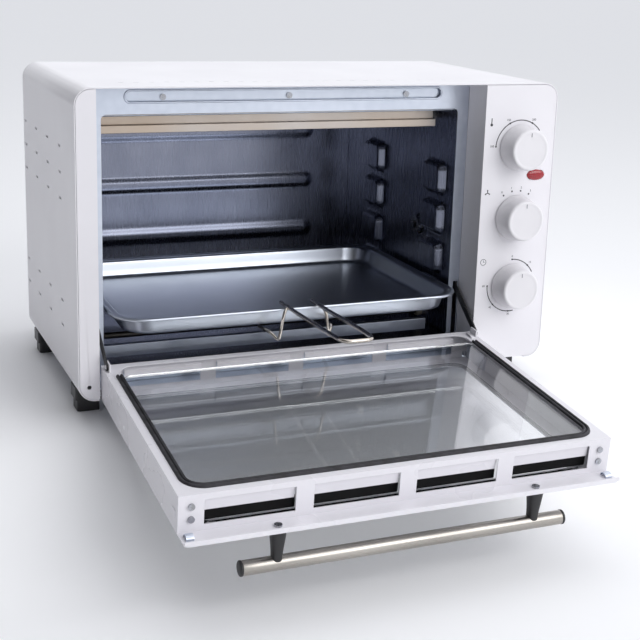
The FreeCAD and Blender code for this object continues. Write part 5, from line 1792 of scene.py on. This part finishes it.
@dataclass
class Studio:
    """White paper, soft lights and the camera."""

    paint: Paint
    place: Point = (-0.482393, -1.265193, 0.438279)
    yaw: float = 0.408809
    pitch: float = 0.249296
    roll: float = 0.033244
    lens: float = 72.245
    shift: Pair = (-0.02713, -0.06071)
    ledge: float = -0.135
    ledge_end: float = -0.34
    ledge_steps: int = 16
    drop: float = 0.075
    reach: float = 18.0
    dim: float = 0.05
    bright: float = 1.08
    behind: float = 0.30
    key: float = 19.0
    key_place: Point = (1.0, -1.9, 1.25)
    key_aim: Point = (0.0, -0.1, 0.12)
    key_size: Pair = (1.8, 1.3)
    overhead: float = 4.0
    overhead_place: Point = (0.25, 0.2, 1.9)
    overhead_size: Pair = (1.8, 1.4)
    room: str = "#F3F5FA"

    def build(self) -> None:
        """Lay the paper, hang the lights and set up the camera."""
        self.paper()
        self.lights()
        self.camera()
        bpy.context.scene.view_settings.view_transform = "Standard"

    def paper(self) -> None:
        """Lay the paper flat under the feet and let it dip in front, below the open door."""
        ys = [self.reach, 4.0, 1.0, 0.3, self.ledge]
        ys += [self.ledge + (self.ledge_end - self.ledge) * i / self.ledge_steps
               for i in range(1, self.ledge_steps + 1)]
        ys += [-1.0, -4.0, -self.reach]
        rings = []
        for y in ys:
            z = -self.drop * ease((self.ledge - y) / (self.ledge - self.ledge_end))
            rings.append([(x, y, z) for x in (-self.reach, -1.5, 0.0, 1.5, self.reach)])
        mesh = bmesh.new()
        rows = [[mesh.verts.new(p) for p in ring] for ring in rings]
        for one, two in zip(rows, rows[1:]):
            for i in range(len(one) - 1):
                face = mesh.faces.new((one[i], two[i], two[i + 1], one[i + 1]))
                face.smooth = True
        data = bpy.data.meshes.new("studio_paper")
        mesh.to_mesh(data)
        mesh.free()
        paper = show("studio_paper", data)
        data.materials.append(self.paint.of("paper"))
        paper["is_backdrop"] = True

    def softbox(self, name: str, place: Point, aim: Point, size: Pair, watts: float) -> None:
        """Hang one soft light.

        Args:
            name: The light's name.
            place: Where it hangs.
            aim: What it points at.
            size: Its width and height.
            watts: Its power.
        """
        lamp = bpy.data.lights.new(name, "AREA")
        lamp.shape = "RECTANGLE"
        lamp.size, lamp.size_y = size
        lamp.energy = watts
        holder = show(name, lamp)
        holder.location = place
        holder.rotation_euler = (Vector(aim) - Vector(place)).to_track_quat("-Z", "Y").to_euler()

    def lights(self) -> None:
        """Light a pale room that is dim on its left, with a key at the front right and overhead."""
        world = bpy.data.worlds.new("studio")
        world.use_nodes = True
        tree = world.node_tree
        tree.nodes.clear()
        way = add(tree, "SeparateXYZ", {0: add(tree, "TexCoord").outputs["Generated"]})
        side = add(tree, "MapRange", {
            0: way.outputs["X"], 1: -0.6, 2: 0.05, 3: self.dim, 4: self.bright},
            interpolation_type="SMOOTHSTEP")
        ahead = add(tree, "MapRange", {
            0: way.outputs["Y"], 1: -0.2, 2: 0.9, 3: 0.0, 4: self.behind})
        total = add(tree, "Math", {0: side.outputs[0], 1: ahead.outputs[0]}, operation="ADD")
        room = add(tree, "Background", {"Color": linear(self.room), "Strength": total.outputs[0]})
        add(tree, "OutputWorld", {"Surface": room.outputs[0]})
        bpy.context.scene.world = world
        self.softbox("key", self.key_place, self.key_aim, self.key_size, self.key)
        self.softbox("overhead", self.overhead_place, (0.0, 0.0, 0.0), self.overhead_size,
                     self.overhead)

    def camera(self) -> None:
        """Set the camera up at the height of a standing viewer's eye, to the left of the door."""
        sy, cy = math.sin(self.yaw), math.cos(self.yaw)
        sp, cp = math.sin(self.pitch), math.cos(self.pitch)
        ahead = Vector((sy * cp, cy * cp, -sp))
        right = Vector((cy, -sy, 0.0))
        up = right.cross(ahead)
        sr, cr = math.sin(self.roll), math.cos(self.roll)
        across = right * cr + up * sr
        over = up * cr - right * sr
        turn = Matrix((across, over, -ahead)).transposed()
        data = bpy.data.cameras.new("viewer")
        data.sensor_width = 36.0
        data.lens = self.lens
        data.shift_x, data.shift_y = self.shift
        data.clip_start, data.clip_end = 0.05, 60.0
        viewer = show("viewer", data)
        viewer.matrix_world = Matrix.Translation(self.place) @ turn.to_4x4()
        bpy.context.scene.camera = viewer


def main() -> None:
    """Build every sub-assembly in order."""
    logging.basicConfig(level=logging.INFO, format="%(name)s: %(message)s")
    paint = Paint()
    shop = Workshop(paint)
    Studio(paint).build()
    Frame(shop).dress()
    parts: Iterable[Any] = (Casing(shop), Mouth(shop), Chamber(shop), BakingTray(shop),
                            TrayGrip(shop), Door(shop), Handle(shop), Controls(shop))
    for part in parts:
        part.build()
        log.info("%s is built", type(part).__name__)
    seen_box = [list(corner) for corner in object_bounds()]
    log.info("%d new pieces; cad box %s; visual box %s", shop.count, cad_box, seen_box)


if __name__ == "__main__":
    main()
